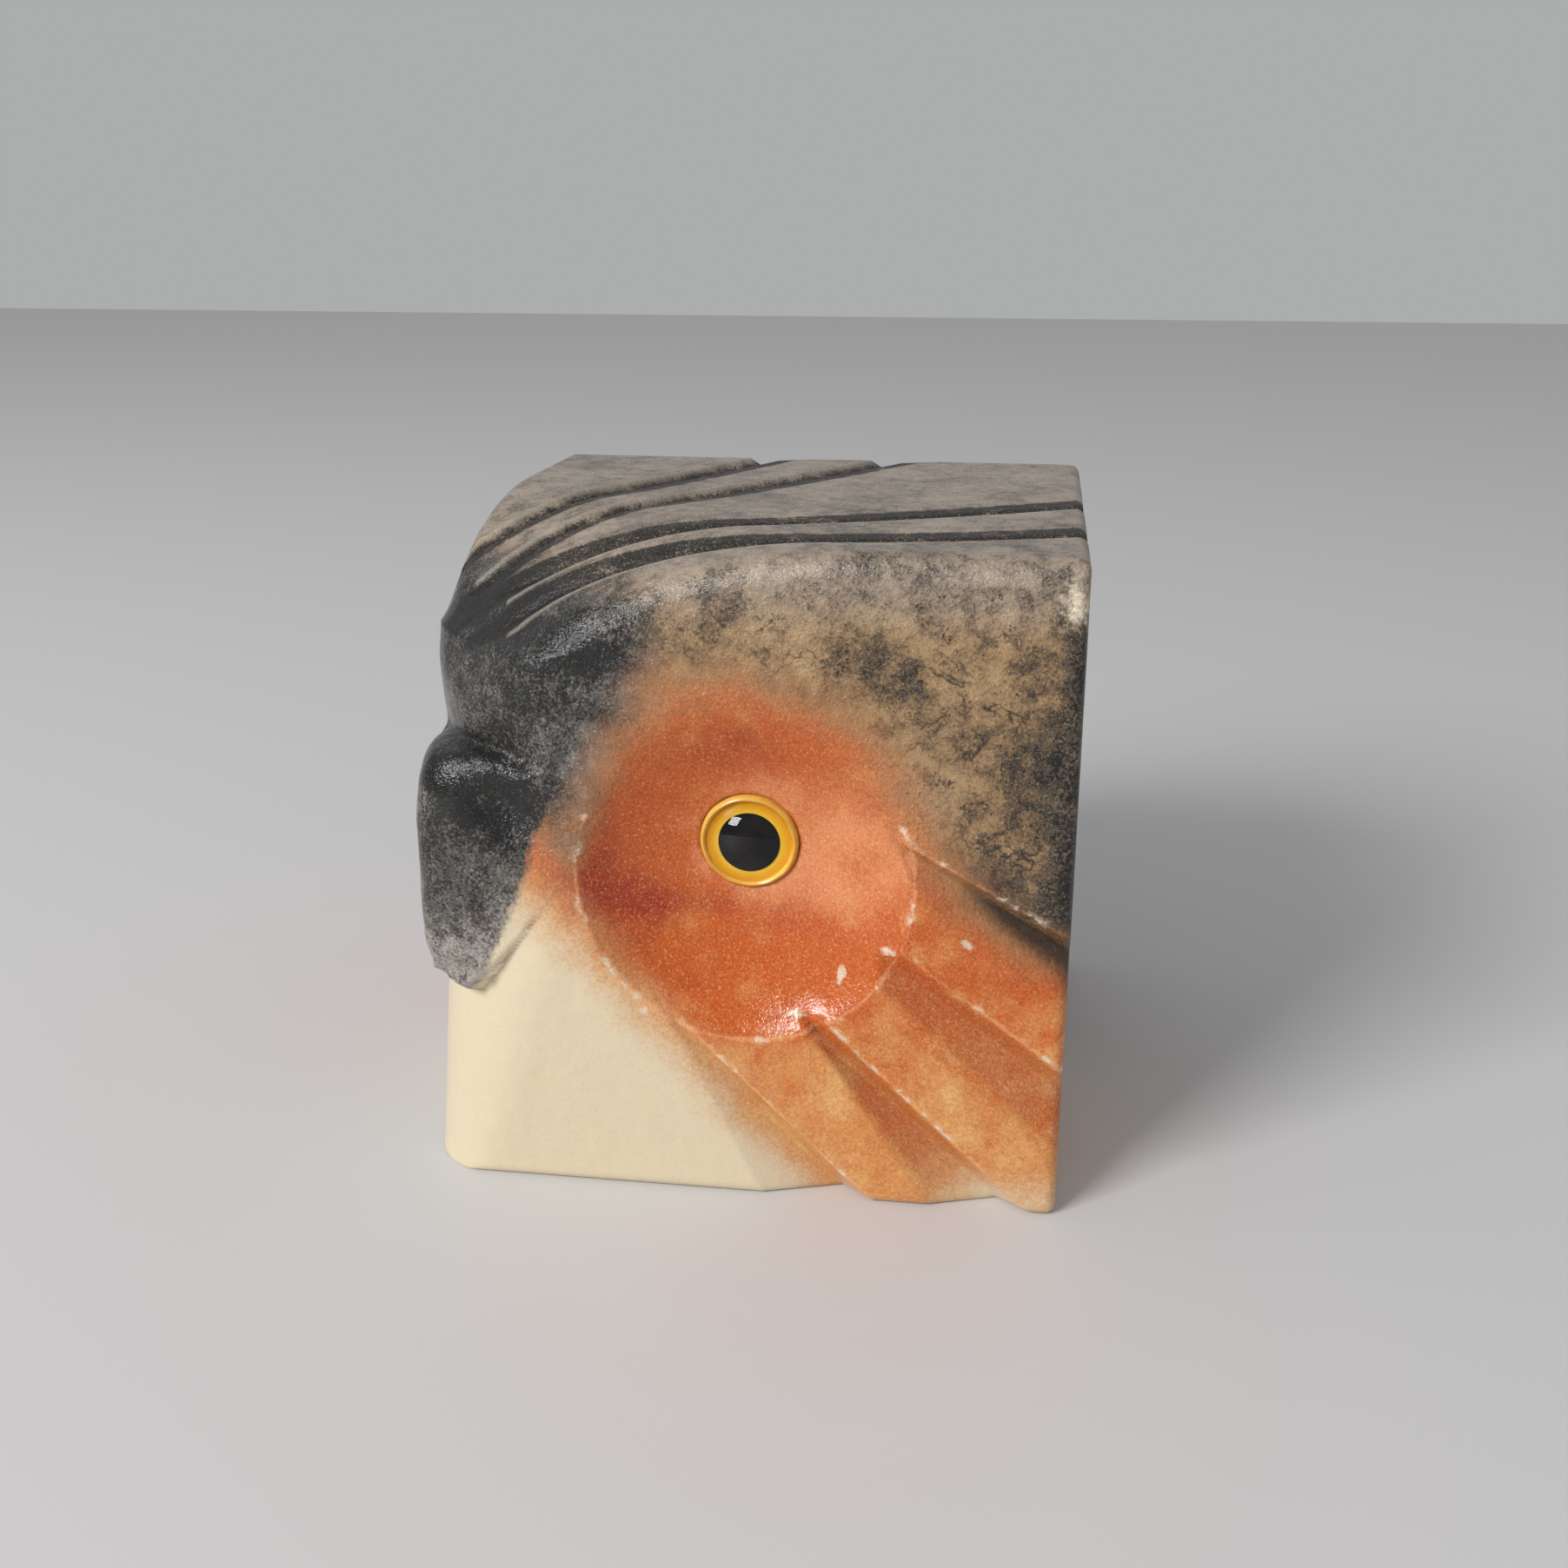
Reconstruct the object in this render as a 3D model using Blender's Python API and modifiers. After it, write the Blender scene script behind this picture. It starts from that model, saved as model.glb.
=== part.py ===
"""A bird's head carved on one upright corner of a stone block, with two glass eyes.

The block stands on its sawn underside. The beak lies on the front corner, at -X and
-Y, so the near face (-Y) and the left face (-X) each show one side of the head, and
the two other upright faces are sawn flat. Each side has an eye in a round dish, with
layered feathers behind it. Four steps sweep over the crown from the forehead.

Forms are worked out in the corner frame: u runs right from the left face, v runs back
from the near face and z runs up from the underside. Lengths are in metres. The carving's
heights are shares of the block's height, and its guide points shares of both.
"""

import math

import bmesh
import bpy
from mathutils import Matrix, Vector

# Block
BLOCK_SIDE = 0.1185
BLOCK_HEIGHT = 0.120
SAWN_EDGE_BEVEL = 0.0021
SAWN_EDGE_SEGMENTS = 2
CROWN_EDGE_RADIUS = 0.0035
GRID_CUTS = 41
GRID_PULL = 1.25

# The block's skin settles towards this core: its front and foot as shares of the side,
# and its top as a share of the height
CORE_FRONT = 0.30
CORE_FOOT = 0.22
CORE_TOP = 0.62

# Forehead, an elliptic arch seen along the head's middle plane
FOREHEAD_REACH = 0.047
FOREHEAD_RISE = 0.308 * BLOCK_HEIGHT
FOREHEAD_BACK = 0.060
BROW_EDGE_RADIUS = 0.004
TEMPLE_RADIUS = 0.013
TEMPLE_FOOT = 0.671 * BLOCK_HEIGHT
TEMPLE_TOP = 0.817 * BLOCK_HEIGHT

# Beak
CREASE_HEIGHT = 0.6875 * BLOCK_HEIGHT
CREASE_DEPTH = 0.0135
BEAK_FRONT = 0.0022
SHOULDER_RISE = 0.121 * BLOCK_HEIGHT
TIP_HEIGHT = 0.308 * BLOCK_HEIGHT
TIP_RISE = 0.104 * BLOCK_HEIGHT
TIP_DEPTH = 0.012
BEAK_CORNER_RADIUS = 0.0048
BEAK_SHOULDER_RADIUS = 0.005
CREASE_FILLET = 0.0008
CHEEK_FRONT = 0.019
CHEEK_RADIUS = 0.006
GAPE_TOP = (0.0316, 0.524 * BLOCK_HEIGHT)
GAPE_FOOT = (0.0117, 0.316 * BLOCK_HEIGHT)
UNDERSIDE_SLOPE = 0.46

# Throat, a corner rounding that opens upwards
THROAT_FOOT_RADIUS = 0.014
THROAT_SPREAD = 0.30
THROAT_SPARE = 0.003
THROAT_BACK_SHARE = 0.5
THROAT_CUT_SHARE = 0.4
THROAT_FACETS = 16
TIP_FACETS = 6

# Eye dish
DISH_CENTRE = (0.519 * BLOCK_SIDE, 0.5125 * BLOCK_HEIGHT)
DISH_RADIUS = 0.030
DISH_BOWL_RADIUS = 0.056
DISH_SEGMENTS = 64
DISH_RINGS = 32

# Glass eyes
EYE_DIAMETER = 0.018
EYE_ABOVE_DISH_CENTRE = 0.0053
EYE_WALL = 0.0035
EYE_DOME = 0.0048
EYE_SEAT_DEPTH = 0.0025
EYE_CLEARANCE = 0.0003
EYE_SEGMENTS = 32
DOME_RINGS = 6
SHARP_ANGLE = 40.0

# Cheek feathers on a face: each groove's lower line, bed and upper line, as (u, z) at
# the dish and at the block's edge in shares of the side and height, and its depths there
CHEEK_GROOVES = (
    ("throat", (0.414, 0.271), (0.549, 0.0), (0.429, 0.265), (0.671, 0.0),
     (0.447, 0.265), (0.722, 0.0), 0.0008, 0.0034),
    ("lower", (0.650, 0.233), (0.806, 0.0), (0.610, 0.293), (0.890, 0.021),
     (0.629, 0.313), (0.949, 0.013), 0.0022, 0.0036),
    ("middle", (0.749, 0.327), (0.976, 0.098), (0.728, 0.398), (1.0, 0.196),
     (0.751, 0.421), (1.0, 0.243), 0.0022, 0.0036),
    ("upper", (0.781, 0.494), (1.0, 0.337), (0.758, 0.571), (1.0, 0.418),
     (0.764, 0.583), (1.0, 0.454), 0.0018, 0.0034),
)
GROOVE_RUN_IN = 0.008
GROOVE_RUN_OUT = 0.006
GROOVE_WIDENING = 1.8

# Crown steps: each bed's four guide points in plan, in shares of the side, and the side
# of its wall
CROWN_STEPS = (
    ("near_outer", ((0.135, 0.101), (0.380, 0.127), (0.591, 0.042), (1.0, 0.219)), -1),
    ("near_inner", ((0.118, 0.169), (0.338, 0.186), (0.591, 0.219), (1.0, 0.489)), -1),
    ("left_inner", ((0.059, 0.211), (0.203, 0.278), (0.338, 0.439), (0.641, 1.0)), 1),
    ("left_outer", ((0.0, 0.312), (0.101, 0.354), (0.186, 0.464), (0.405, 1.0)), 1),
)
STEP_SECTIONS = 16
STEP_DEPTH = 0.0021
STEP_FRONT_DEPTH = 0.0012
STEP_WALL_WIDTH = 0.0028
STEP_SLOPE_WIDTH = 0.0110
STEP_FRONT_SHARE = 0.40

# The shares of a step's run after which it has its full width and its full depth
FULL_WIDTH_SHARE = 0.8
FULL_DEPTH_SHARE = 0.5

# The steep part of a step's slope: its shares of the slope's width and of the depth
KNEE_WIDTH_SHARE = 0.42
KNEE_DEPTH_SHARE = 0.30

# A step's cutter starts this far over the crown, so that the step fades in
STEP_LIFT = 0.0018

# How far a step's cutter opens past its wall's and slope's tops
WALL_WIDENING = 1.7
SLOPE_WIDENING = 1.3

# Faces that turn less than this, in degrees, count as one flat
FLAT_ANGLE = 0.2

# Cutters reach this far past the surfaces that they cut
OVERRUN = 0.004

# The trimming bodies stand this far in front of the faces that they leave alone
BLOCK_PROUD = 0.0003
THROAT_PROUD = 0.00005

# Halvings when a surface point is looked for, and the smallest length told from zero
SEARCH_STEPS = 26
SMALLEST = 0.000001
MERGE_DISTANCE = 0.00001

STONE_COLOUR = (0.50, 0.30, 0.18, 1.0)
GLASS_COLOUR = (0.90, 0.55, 0.08, 1.0)


def clear_scene():
    """Remove every object, so that the script starts from an empty scene."""
    for item in list(bpy.data.objects):
        bpy.data.objects.remove(item, do_unlink=True)


def new_collection(name):
    """A collection of this name in the scene."""
    group = bpy.data.collections.new(name)
    bpy.context.scene.collection.children.link(group)
    return group


def new_material(name, colour, roughness):
    """A plain Principled material."""
    material = bpy.data.materials.new(name)
    material.use_nodes = True
    shader = material.node_tree.nodes["Principled BSDF"]
    shader.inputs["Base Color"].default_value = colour
    shader.inputs["Roughness"].default_value = roughness
    shader.inputs["Metallic"].default_value = 0.0
    return material


def new_object(name, mesh_maker, group, corner):
    """An object from a bmesh, placed in the corner frame, with flat faces alone."""
    mesh = bpy.data.meshes.new(name)
    bmesh.ops.triangulate(mesh_maker, faces=mesh_maker.faces)
    bmesh.ops.recalc_face_normals(mesh_maker, faces=mesh_maker.faces)
    mesh_maker.to_mesh(mesh)
    mesh_maker.free()
    item = bpy.data.objects.new(name, mesh)
    item.parent = corner
    group.objects.link(item)
    return item


def mark_cutter(item):
    """Show a cutter as a wire and keep it out of renders."""
    item.hide_render = True
    item.display_type = "WIRE"
    return item


def cut(target, cutter, operation="DIFFERENCE"):
    """Add an exact Boolean to the target."""
    step = target.modifiers.new(cutter.name, "BOOLEAN")
    step.object = cutter
    step.operation = operation
    step.solver = "EXACT"
    return step


# Base form

def round_meet(first, second, radius):
    """Signed distance to two surfaces that meet in an edge of this radius."""
    if first <= -radius or second <= -radius:
        return max(first, second)
    return math.hypot(first + radius, second + radius) - radius


def arch(along, height, centre, reach, rise):
    """Signed distance to a quarter of an ellipse that faces the front corner."""
    across = (centre[0] - along) / reach
    up = (height - centre[1]) / rise
    size = max(math.hypot(across, up), SMALLEST)
    slope = max(math.hypot(across / reach, up / rise) / size, SMALLEST)
    return (size - 1.0) / slope


def ease(value, start, end):
    """A smooth step from 0 at start to 1 at end."""
    share = min(max((value - start) / (end - start), 0.0), 1.0)
    return share * share * (3.0 - 2.0 * share)


def forehead_distance(u, v, z):
    """Signed distance to the forehead and crown, which end at the crease."""
    along = (u + v) / math.sqrt(2.0)
    foot = BLOCK_HEIGHT - FOREHEAD_RISE
    if along > FOREHEAD_BACK:
        dome = z - BLOCK_HEIGHT
    elif z > foot:
        dome = arch(along, z, (FOREHEAD_BACK, foot), FOREHEAD_REACH, FOREHEAD_RISE)
    else:
        dome = FOREHEAD_BACK - FOREHEAD_REACH - along
    hollow = 1.0 - ease(z, TEMPLE_FOOT, TEMPLE_TOP)
    radius = BROW_EDGE_RADIUS + (TEMPLE_RADIUS - BROW_EDGE_RADIUS) * hollow
    near_side = round_meet(-v, dome, radius)
    left_side = round_meet(-u, dome, radius)
    return max(near_side, left_side, CREASE_HEIGHT - z)


def beak_distance(u, v, z):
    """Signed distance to the beak and the flat cheeks below the crease."""
    along = (u + v) / math.sqrt(2.0)
    shoulder_foot = CREASE_HEIGHT - SHOULDER_RISE
    tip_top = TIP_HEIGHT + TIP_RISE
    front = BEAK_FRONT - along
    if z > shoulder_foot:
        if along > CREASE_DEPTH:
            ends = z - CREASE_HEIGHT
        else:
            reach = CREASE_DEPTH - BEAK_FRONT
            ends = arch(along, z, (CREASE_DEPTH, shoulder_foot), reach, SHOULDER_RISE)
    elif z < tip_top:
        if along > TIP_DEPTH:
            ends = TIP_HEIGHT - z
        else:
            reach = TIP_DEPTH - BEAK_FRONT
            ends = arch(along, 2.0 * tip_top - z, (TIP_DEPTH, tip_top), reach, TIP_RISE)
    else:
        ends = front
    corner = round_meet(-u, -v, BEAK_CORNER_RADIUS)
    return round_meet(corner, ends, BEAK_SHOULDER_RADIUS)


def soft_join(first, second, radius):
    """Signed distance to two bodies joined with a fillet of this radius."""
    return -round_meet(-first, -second, radius)


def cheek_distance(u, v, z):
    """Signed distance to the block behind the beak and under the crown."""
    along = (u + v) / math.sqrt(2.0)
    return max(round_meet(max(-u, -v), CHEEK_FRONT - along, CHEEK_RADIUS), z - TEMPLE_TOP)


def throat_radius(z):
    """Radius of the throat's corner rounding at a height."""
    return THROAT_FOOT_RADIUS + THROAT_SPREAD * z


def throat_distance(u, v, z):
    """Signed distance to the rough throat, which its cutter trims to size."""
    return max(round_meet(-u, -v, throat_radius(z) - THROAT_SPARE), z - GAPE_TOP[1])


def base_distance(u, v, z):
    """Signed distance to the head before its dishes, grooves and throat are cut."""
    body = soft_join(forehead_distance(u, v, z), beak_distance(u, v, z), CREASE_FILLET)
    body = min(soft_join(body, cheek_distance(u, v, z), CHEEK_RADIUS), throat_distance(u, v, z))
    crown = round_meet(z - BLOCK_HEIGHT, max(-u, -v), CROWN_EDGE_RADIUS)
    return max(body, crown)


def settle(point, core_low, core_high):
    """Move a point of the block's skin straight towards the core, onto the base form."""
    target = Vector(min(max(point[i], core_low[i]), core_high[i]) for i in range(3))
    if base_distance(*point) <= 0.0:
        return point
    outer = 0.0
    inner = 1.0
    for _ in range(SEARCH_STEPS):
        middle = 0.5 * (outer + inner)
        if base_distance(*point.lerp(target, middle)) > 0.0:
            outer = middle
        else:
            inner = middle
    return point.lerp(target, inner)


def make_base(group, corner):
    """The block with its forehead, beak and crown edges, from a finely divided cube."""
    maker = bmesh.new()
    bmesh.ops.create_cube(maker, size=1.0)
    bmesh.ops.translate(maker, verts=maker.verts, vec=(0.5, 0.5, 0.5))
    bmesh.ops.subdivide_edges(maker, edges=maker.edges, cuts=GRID_CUTS, use_grid_fill=True)
    spare = BLOCK_SIDE + OVERRUN
    core_low = Vector((CORE_FRONT, CORE_FRONT, CORE_FOOT)) * BLOCK_SIDE
    core_high = Vector((BLOCK_SIDE, BLOCK_SIDE, CORE_TOP * BLOCK_HEIGHT))
    for vertex in maker.verts:
        u = spare * vertex.co.x ** GRID_PULL
        v = spare * vertex.co.y ** GRID_PULL
        z = -OVERRUN + (BLOCK_HEIGHT + OVERRUN) * vertex.co.z
        vertex.co = settle(Vector((u, v, z)), core_low, core_high)
    return new_object("stone_head", maker, group, corner)


# Cutters

def make_envelope(group, corner):
    """The sawn block with small bevels, which trims the base form to size."""
    maker = bmesh.new()
    bmesh.ops.create_cube(maker, size=1.0)
    bmesh.ops.translate(maker, verts=maker.verts, vec=(0.5, 0.5, 0.5))
    wide = BLOCK_SIDE + BLOCK_PROUD
    bmesh.ops.scale(maker, verts=maker.verts, vec=(wide, wide, BLOCK_HEIGHT + BLOCK_PROUD))
    bmesh.ops.translate(maker, verts=maker.verts, vec=(-BLOCK_PROUD, -BLOCK_PROUD, 0.0))
    item = new_object("sawn_block", maker, group, corner)
    bevel = item.modifiers.new("sawn edges", "BEVEL")
    bevel.width = SAWN_EDGE_BEVEL
    bevel.segments = SAWN_EDGE_SEGMENTS
    return mark_cutter(item)


def loft(maker, sections):
    """A closed body through sections of equal count, in order."""
    rings = [[maker.verts.new(point) for point in section] for section in sections]
    count = len(rings[0])
    for near, far in zip(rings, rings[1:]):
        for i in range(count):
            j = (i + 1) % count
            maker.faces.new((near[i], near[j], far[j], far[i]))
    maker.faces.new(rings[0])
    maker.faces.new(rings[-1])


def make_throat_core(group, corner):
    """The stone that stays at the throat: a block whose corner rounding opens upwards."""
    sections = []
    front = -THROAT_PROUD
    back = BLOCK_SIDE * THROAT_BACK_SHARE
    for z in (-3.0 * OVERRUN, GAPE_TOP[1] + 2.0 * OVERRUN):
        radius = throat_radius(z)
        section = []
        for i in range(THROAT_FACETS + 1):
            angle = math.radians(270.0 - 90.0 * i / THROAT_FACETS)
            section.append((front + radius * (1.0 + math.cos(angle)),
                            front + radius * (1.0 + math.sin(angle)), z))
        section += [(front, back, z), (back, back, z), (back, front, z)]
        sections.append(section)
    maker = bmesh.new()
    loft(maker, sections)
    return mark_cutter(new_object("throat_core", maker, group, corner))


def make_throat_cutter(core, group, corner):
    """Everything in front of the throat and under the gape, on the near side."""
    slope = (GAPE_TOP[1] - GAPE_FOOT[1]) / (GAPE_TOP[0] - GAPE_FOOT[0])
    right = GAPE_TOP[0] + OVERRUN
    outline = [(-OVERRUN, -OVERRUN), (right, -OVERRUN), (right, GAPE_TOP[1] + slope * OVERRUN)]
    outline.append(GAPE_FOOT)
    arc = GAPE_FOOT[0] - BEAK_FRONT
    for i in range(1, TIP_FACETS + 1):
        angle = math.radians(90.0 * i / TIP_FACETS)
        outline.append((GAPE_FOOT[0] - arc * math.sin(angle),
                        GAPE_FOOT[1] + TIP_RISE * (1.0 - math.cos(angle))))
    outline.append((-OVERRUN, outline[-1][1] + OVERRUN))
    sections = []
    for v in (-OVERRUN, BLOCK_SIDE * THROAT_CUT_SHARE):
        drop = UNDERSIDE_SLOPE * max(v, -OVERRUN)
        section = [(u, v, z - drop if z > 0.0 else z - OVERRUN) for u, z in outline]
        sections.append(section)
    maker = bmesh.new()
    loft(maker, sections)
    item = new_object("throat_cutter", maker, group, corner)
    cut(item, core)
    return mark_cutter(item)


def dish_ball_centre():
    """Centre of the ball that hollows the dish."""
    stand_off = math.sqrt(DISH_BOWL_RADIUS ** 2 - DISH_RADIUS ** 2)
    return Vector((DISH_CENTRE[0], -stand_off, DISH_CENTRE[1]))


def make_dish_ball(group, corner):
    """The ball that hollows the dish, with its poles along the v axis."""
    maker = bmesh.new()
    bmesh.ops.create_uvsphere(
        maker, u_segments=DISH_SEGMENTS, v_segments=DISH_RINGS, radius=DISH_BOWL_RADIUS)
    turn = Matrix.Rotation(math.radians(90.0), 4, "X")
    place = Matrix.Translation(dish_ball_centre())
    bmesh.ops.transform(maker, matrix=place @ turn, verts=maker.verts)
    return mark_cutter(new_object("dish", maker, group, corner))


def on_face(point, depth):
    """A point at this depth in the near face, from its shares of the side and height."""
    return Vector((point[0] * BLOCK_SIDE, depth, point[1] * BLOCK_HEIGHT))


def make_groove_cutter(groove, group, corner):
    """A three-sided wedge for one cheek groove, run out past both of its ends."""
    name, low_in, low_out, bed_in, bed_out, high_in, high_out, depth_in, depth_out = groove
    lines = (
        (on_face(low_in, 0.0), on_face(low_out, 0.0)),
        (on_face(bed_in, depth_in), on_face(bed_out, depth_out)),
        (on_face(high_in, 0.0), on_face(high_out, 0.0)),
    )
    run = (lines[1][1] - lines[1][0]).normalized()
    sections = []
    for end, reach in ((0, -GROOVE_RUN_IN), (0, 0.0), (1, 0.0), (1, GROOVE_RUN_OUT)):
        low, bed, high = (line[end] + run * reach for line in lines)
        low = bed + (low - bed) * GROOVE_WIDENING
        high = bed + (high - bed) * GROOVE_WIDENING
        sections.append([low, bed, high])
    maker = bmesh.new()
    loft(maker, sections)
    return mark_cutter(new_object("cheek_groove_" + name, maker, group, corner))


def guide_point(points, share):
    """A point of the cubic curve that four guide points give, and its direction."""
    rest = 1.0 - share
    weights = (rest ** 3, 3 * rest * rest * share, 3 * rest * share * share, share ** 3)
    place = Vector((0.0, 0.0))
    for weight, point in zip(weights, points):
        place += weight * BLOCK_SIDE * Vector(point)
    slopes = (rest * rest, 2 * rest * share, share * share)
    direction = Vector((0.0, 0.0))
    for weight, start, end in zip(slopes, points, points[1:]):
        direction += weight * (Vector(end) - Vector(start))
    return place, direction.normalized()


def on_crown(place, rise):
    """The point this far over the base form's top at a plan point, above the temples."""
    low = TEMPLE_TOP
    high = BLOCK_HEIGHT + OVERRUN
    u = max(place.x, BLOCK_PROUD)
    v = max(place.y, BLOCK_PROUD)
    for _ in range(SEARCH_STEPS):
        middle = 0.5 * (low + high)
        if base_distance(u, v, middle) > 0.0:
            high = middle
        else:
            low = middle
    return Vector((place.x, place.y, low + rise))


def make_step_cutter(step, group, corner):
    """A long wedge that follows the crown and cuts one step into it."""
    name, points, wall_side = step
    sections = []
    for i in range(STEP_SECTIONS + 1):
        share = i / STEP_SECTIONS
        place, direction = guide_point(points, share)
        lift = 0.0
        if i == 0:
            place -= direction * OVERRUN
            lift = STEP_LIFT
        if i == STEP_SECTIONS:
            place += direction * OVERRUN
        across = Vector((-direction.y, direction.x)) * wall_side
        widening = ease(share, 0.0, FULL_WIDTH_SHARE)
        deepening = ease(share, 0.0, FULL_DEPTH_SHARE)
        slope_width = STEP_SLOPE_WIDTH * (STEP_FRONT_SHARE + (1.0 - STEP_FRONT_SHARE) * widening)
        depth = STEP_FRONT_DEPTH + (STEP_DEPTH - STEP_FRONT_DEPTH) * deepening
        bed = on_crown(place, lift - depth)
        wall = on_crown(place + across * STEP_WALL_WIDTH, lift)
        knee = on_crown(place - across * slope_width * KNEE_WIDTH_SHARE,
                        lift - depth * KNEE_DEPTH_SHARE)
        slope = on_crown(place - across * slope_width, lift)
        middle = (wall + slope) * 0.5 + Vector((0.0, 0.0, 2.0 * STEP_DEPTH))
        wall = bed + (wall - bed) * WALL_WIDENING
        slope = knee + (slope - knee) * SLOPE_WIDENING
        sections.append([bed, wall, middle, slope, knee])
    maker = bmesh.new()
    loft(maker, sections)
    return mark_cutter(new_object("crown_step_" + name, maker, group, corner))


# Eyes

def eye_frame():
    """Place and axis of the near face's eye: on the dish's bowl, facing its centre."""
    ball = dish_ball_centre()
    rise = EYE_ABOVE_DISH_CENTRE
    back = math.sqrt(DISH_BOWL_RADIUS ** 2 - rise ** 2)
    seat = ball + Vector((0.0, back, rise))
    axis = (ball - seat).normalized()
    return seat, axis


def place_on_eye(maker):
    """Turn a body that stands on +Z so that it stands in the near face's eye seat."""
    seat, axis = eye_frame()
    turn = axis.to_track_quat("Z", "Y").to_matrix().to_4x4()
    bmesh.ops.transform(maker, matrix=Matrix.Translation(seat) @ turn, verts=maker.verts)


def make_seat_cutter(group, corner):
    """The drilled seat of the near face's eye."""
    maker = bmesh.new()
    radius = EYE_DIAMETER / 2 + EYE_CLEARANCE
    depth = EYE_SEAT_DEPTH + EYE_CLEARANCE
    height = depth + 4.0 * OVERRUN
    bmesh.ops.create_cone(
        maker, cap_ends=True, segments=EYE_SEGMENTS,
        radius1=radius, radius2=radius, depth=height)
    bmesh.ops.translate(maker, verts=maker.verts, vec=(0.0, 0.0, height / 2 - depth))
    place_on_eye(maker)
    return mark_cutter(new_object("eye_seat", maker, group, corner))


def eye_profile():
    """Half outline of an eye, from its dome's top to the middle of its flat back."""
    radius = EYE_DIAMETER / 2
    shoulder = EYE_WALL - EYE_SEAT_DEPTH
    points = []
    for i in range(DOME_RINGS + 1):
        angle = math.radians(90.0 * i / DOME_RINGS)
        points.append((radius * math.sin(angle), shoulder + EYE_DOME * math.cos(angle)))
    points.append((radius, -EYE_SEAT_DEPTH))
    points.append((0.0, -EYE_SEAT_DEPTH))
    return points


def make_eye(name, mirror, material, group, corner):
    """A glass eye, turned from its profile; the mirror matrix puts it on its face."""
    maker = bmesh.new()
    outline = [maker.verts.new((x, 0.0, z)) for x, z in eye_profile()]
    edges = [maker.edges.new(pair) for pair in zip(outline, outline[1:])]
    bmesh.ops.spin(
        maker, geom=outline + edges, cent=(0.0, 0.0, 0.0), axis=(0.0, 0.0, 1.0),
        angle=math.radians(360.0), steps=EYE_SEGMENTS, use_merge=True)
    bmesh.ops.remove_doubles(maker, verts=maker.verts, dist=MERGE_DISTANCE)
    place_on_eye(maker)
    bmesh.ops.transform(maker, matrix=mirror, verts=maker.verts)
    item = new_object(name, maker, group, corner)
    item.data.materials.append(material)
    item.data.shade_smooth()
    item.data.set_sharp_from_angle(angle=math.radians(SHARP_ANGLE))
    return item


def swap_faces():
    """The mirror through the head's middle plane, which swaps u and v."""
    return Matrix(((0, 1, 0, 0), (1, 0, 0, 0), (0, 0, 1, 0), (0, 0, 0, 1)))


# Assembly

def add_mirror(head, corner):
    """Make the left side the mirror image of the near side."""
    plane = bpy.data.objects.new("middle_plane", None)
    plane.rotation_euler = (0.0, 0.0, math.radians(-45.0))
    plane.parent = corner
    corner.users_collection[0].objects.link(plane)
    mirror = head.modifiers.new("left side", "MIRROR")
    mirror.mirror_object = plane
    mirror.use_axis = (True, False, False)
    mirror.use_bisect_axis = (True, False, False)
    mirror.use_mirror_merge = True
    mirror.merge_threshold = MERGE_DISTANCE
    mirror.bisect_threshold = MERGE_DISTANCE
    return mirror


def merge_flats(head):
    """Merge the faces that lie in one plane, and cut what is left into triangles."""
    merge = head.modifiers.new("flats", "DECIMATE")
    merge.decimate_type = "DISSOLVE"
    merge.angle_limit = math.radians(FLAT_ANGLE)
    split = head.modifiers.new("triangles", "TRIANGULATE")
    split.min_vertices = 4


def main():
    """Build the head and its eyes."""
    clear_scene()
    parts = new_collection("bird_head_carving")
    cutters = new_collection("cutters")
    stone = new_material("banded alabaster", STONE_COLOUR, 0.35)
    glass = new_material("amber glass", GLASS_COLOUR, 0.05)

    corner = bpy.data.objects.new("beak_corner", None)
    corner.location = (-BLOCK_SIDE / 2, -BLOCK_SIDE / 2, 0.0)
    cutters.objects.link(corner)

    head = make_base(parts, corner)
    head.data.materials.append(stone)
    cut(head, make_envelope(cutters, corner), "INTERSECT")
    cut(head, make_throat_cutter(make_throat_core(cutters, corner), cutters, corner))
    cut(head, make_dish_ball(cutters, corner))
    for groove in CHEEK_GROOVES:
        cut(head, make_groove_cutter(groove, cutters, corner))
    cut(head, make_seat_cutter(cutters, corner))
    add_mirror(head, corner)
    for step in CROWN_STEPS:
        cut(head, make_step_cutter(step, cutters, corner))
    merge_flats(head)

    make_eye("left_eye", Matrix.Identity(4), glass, parts, corner)
    make_eye("right_eye", swap_faces(), glass, parts, corner)


main()
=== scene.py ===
"""Looks of a bird's head carved on one upright corner of a translucent stone block.

The head's skin is worked out afresh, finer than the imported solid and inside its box: the
base form, the eye dishes, the cheek feathers, the throat and the steps over the crown.
Two glass eyes sit in the dishes. Forms are worked out in the corner frame: u runs right
from the left face, v runs back from the near face and z runs up. Lengths are in metres.
"""

import logging
import math
from collections.abc import Callable
from dataclasses import dataclass
from enum import Enum
from functools import partial
import bmesh
import bpy
import numpy as np
from mathutils import Matrix, Vector, noise


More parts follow.
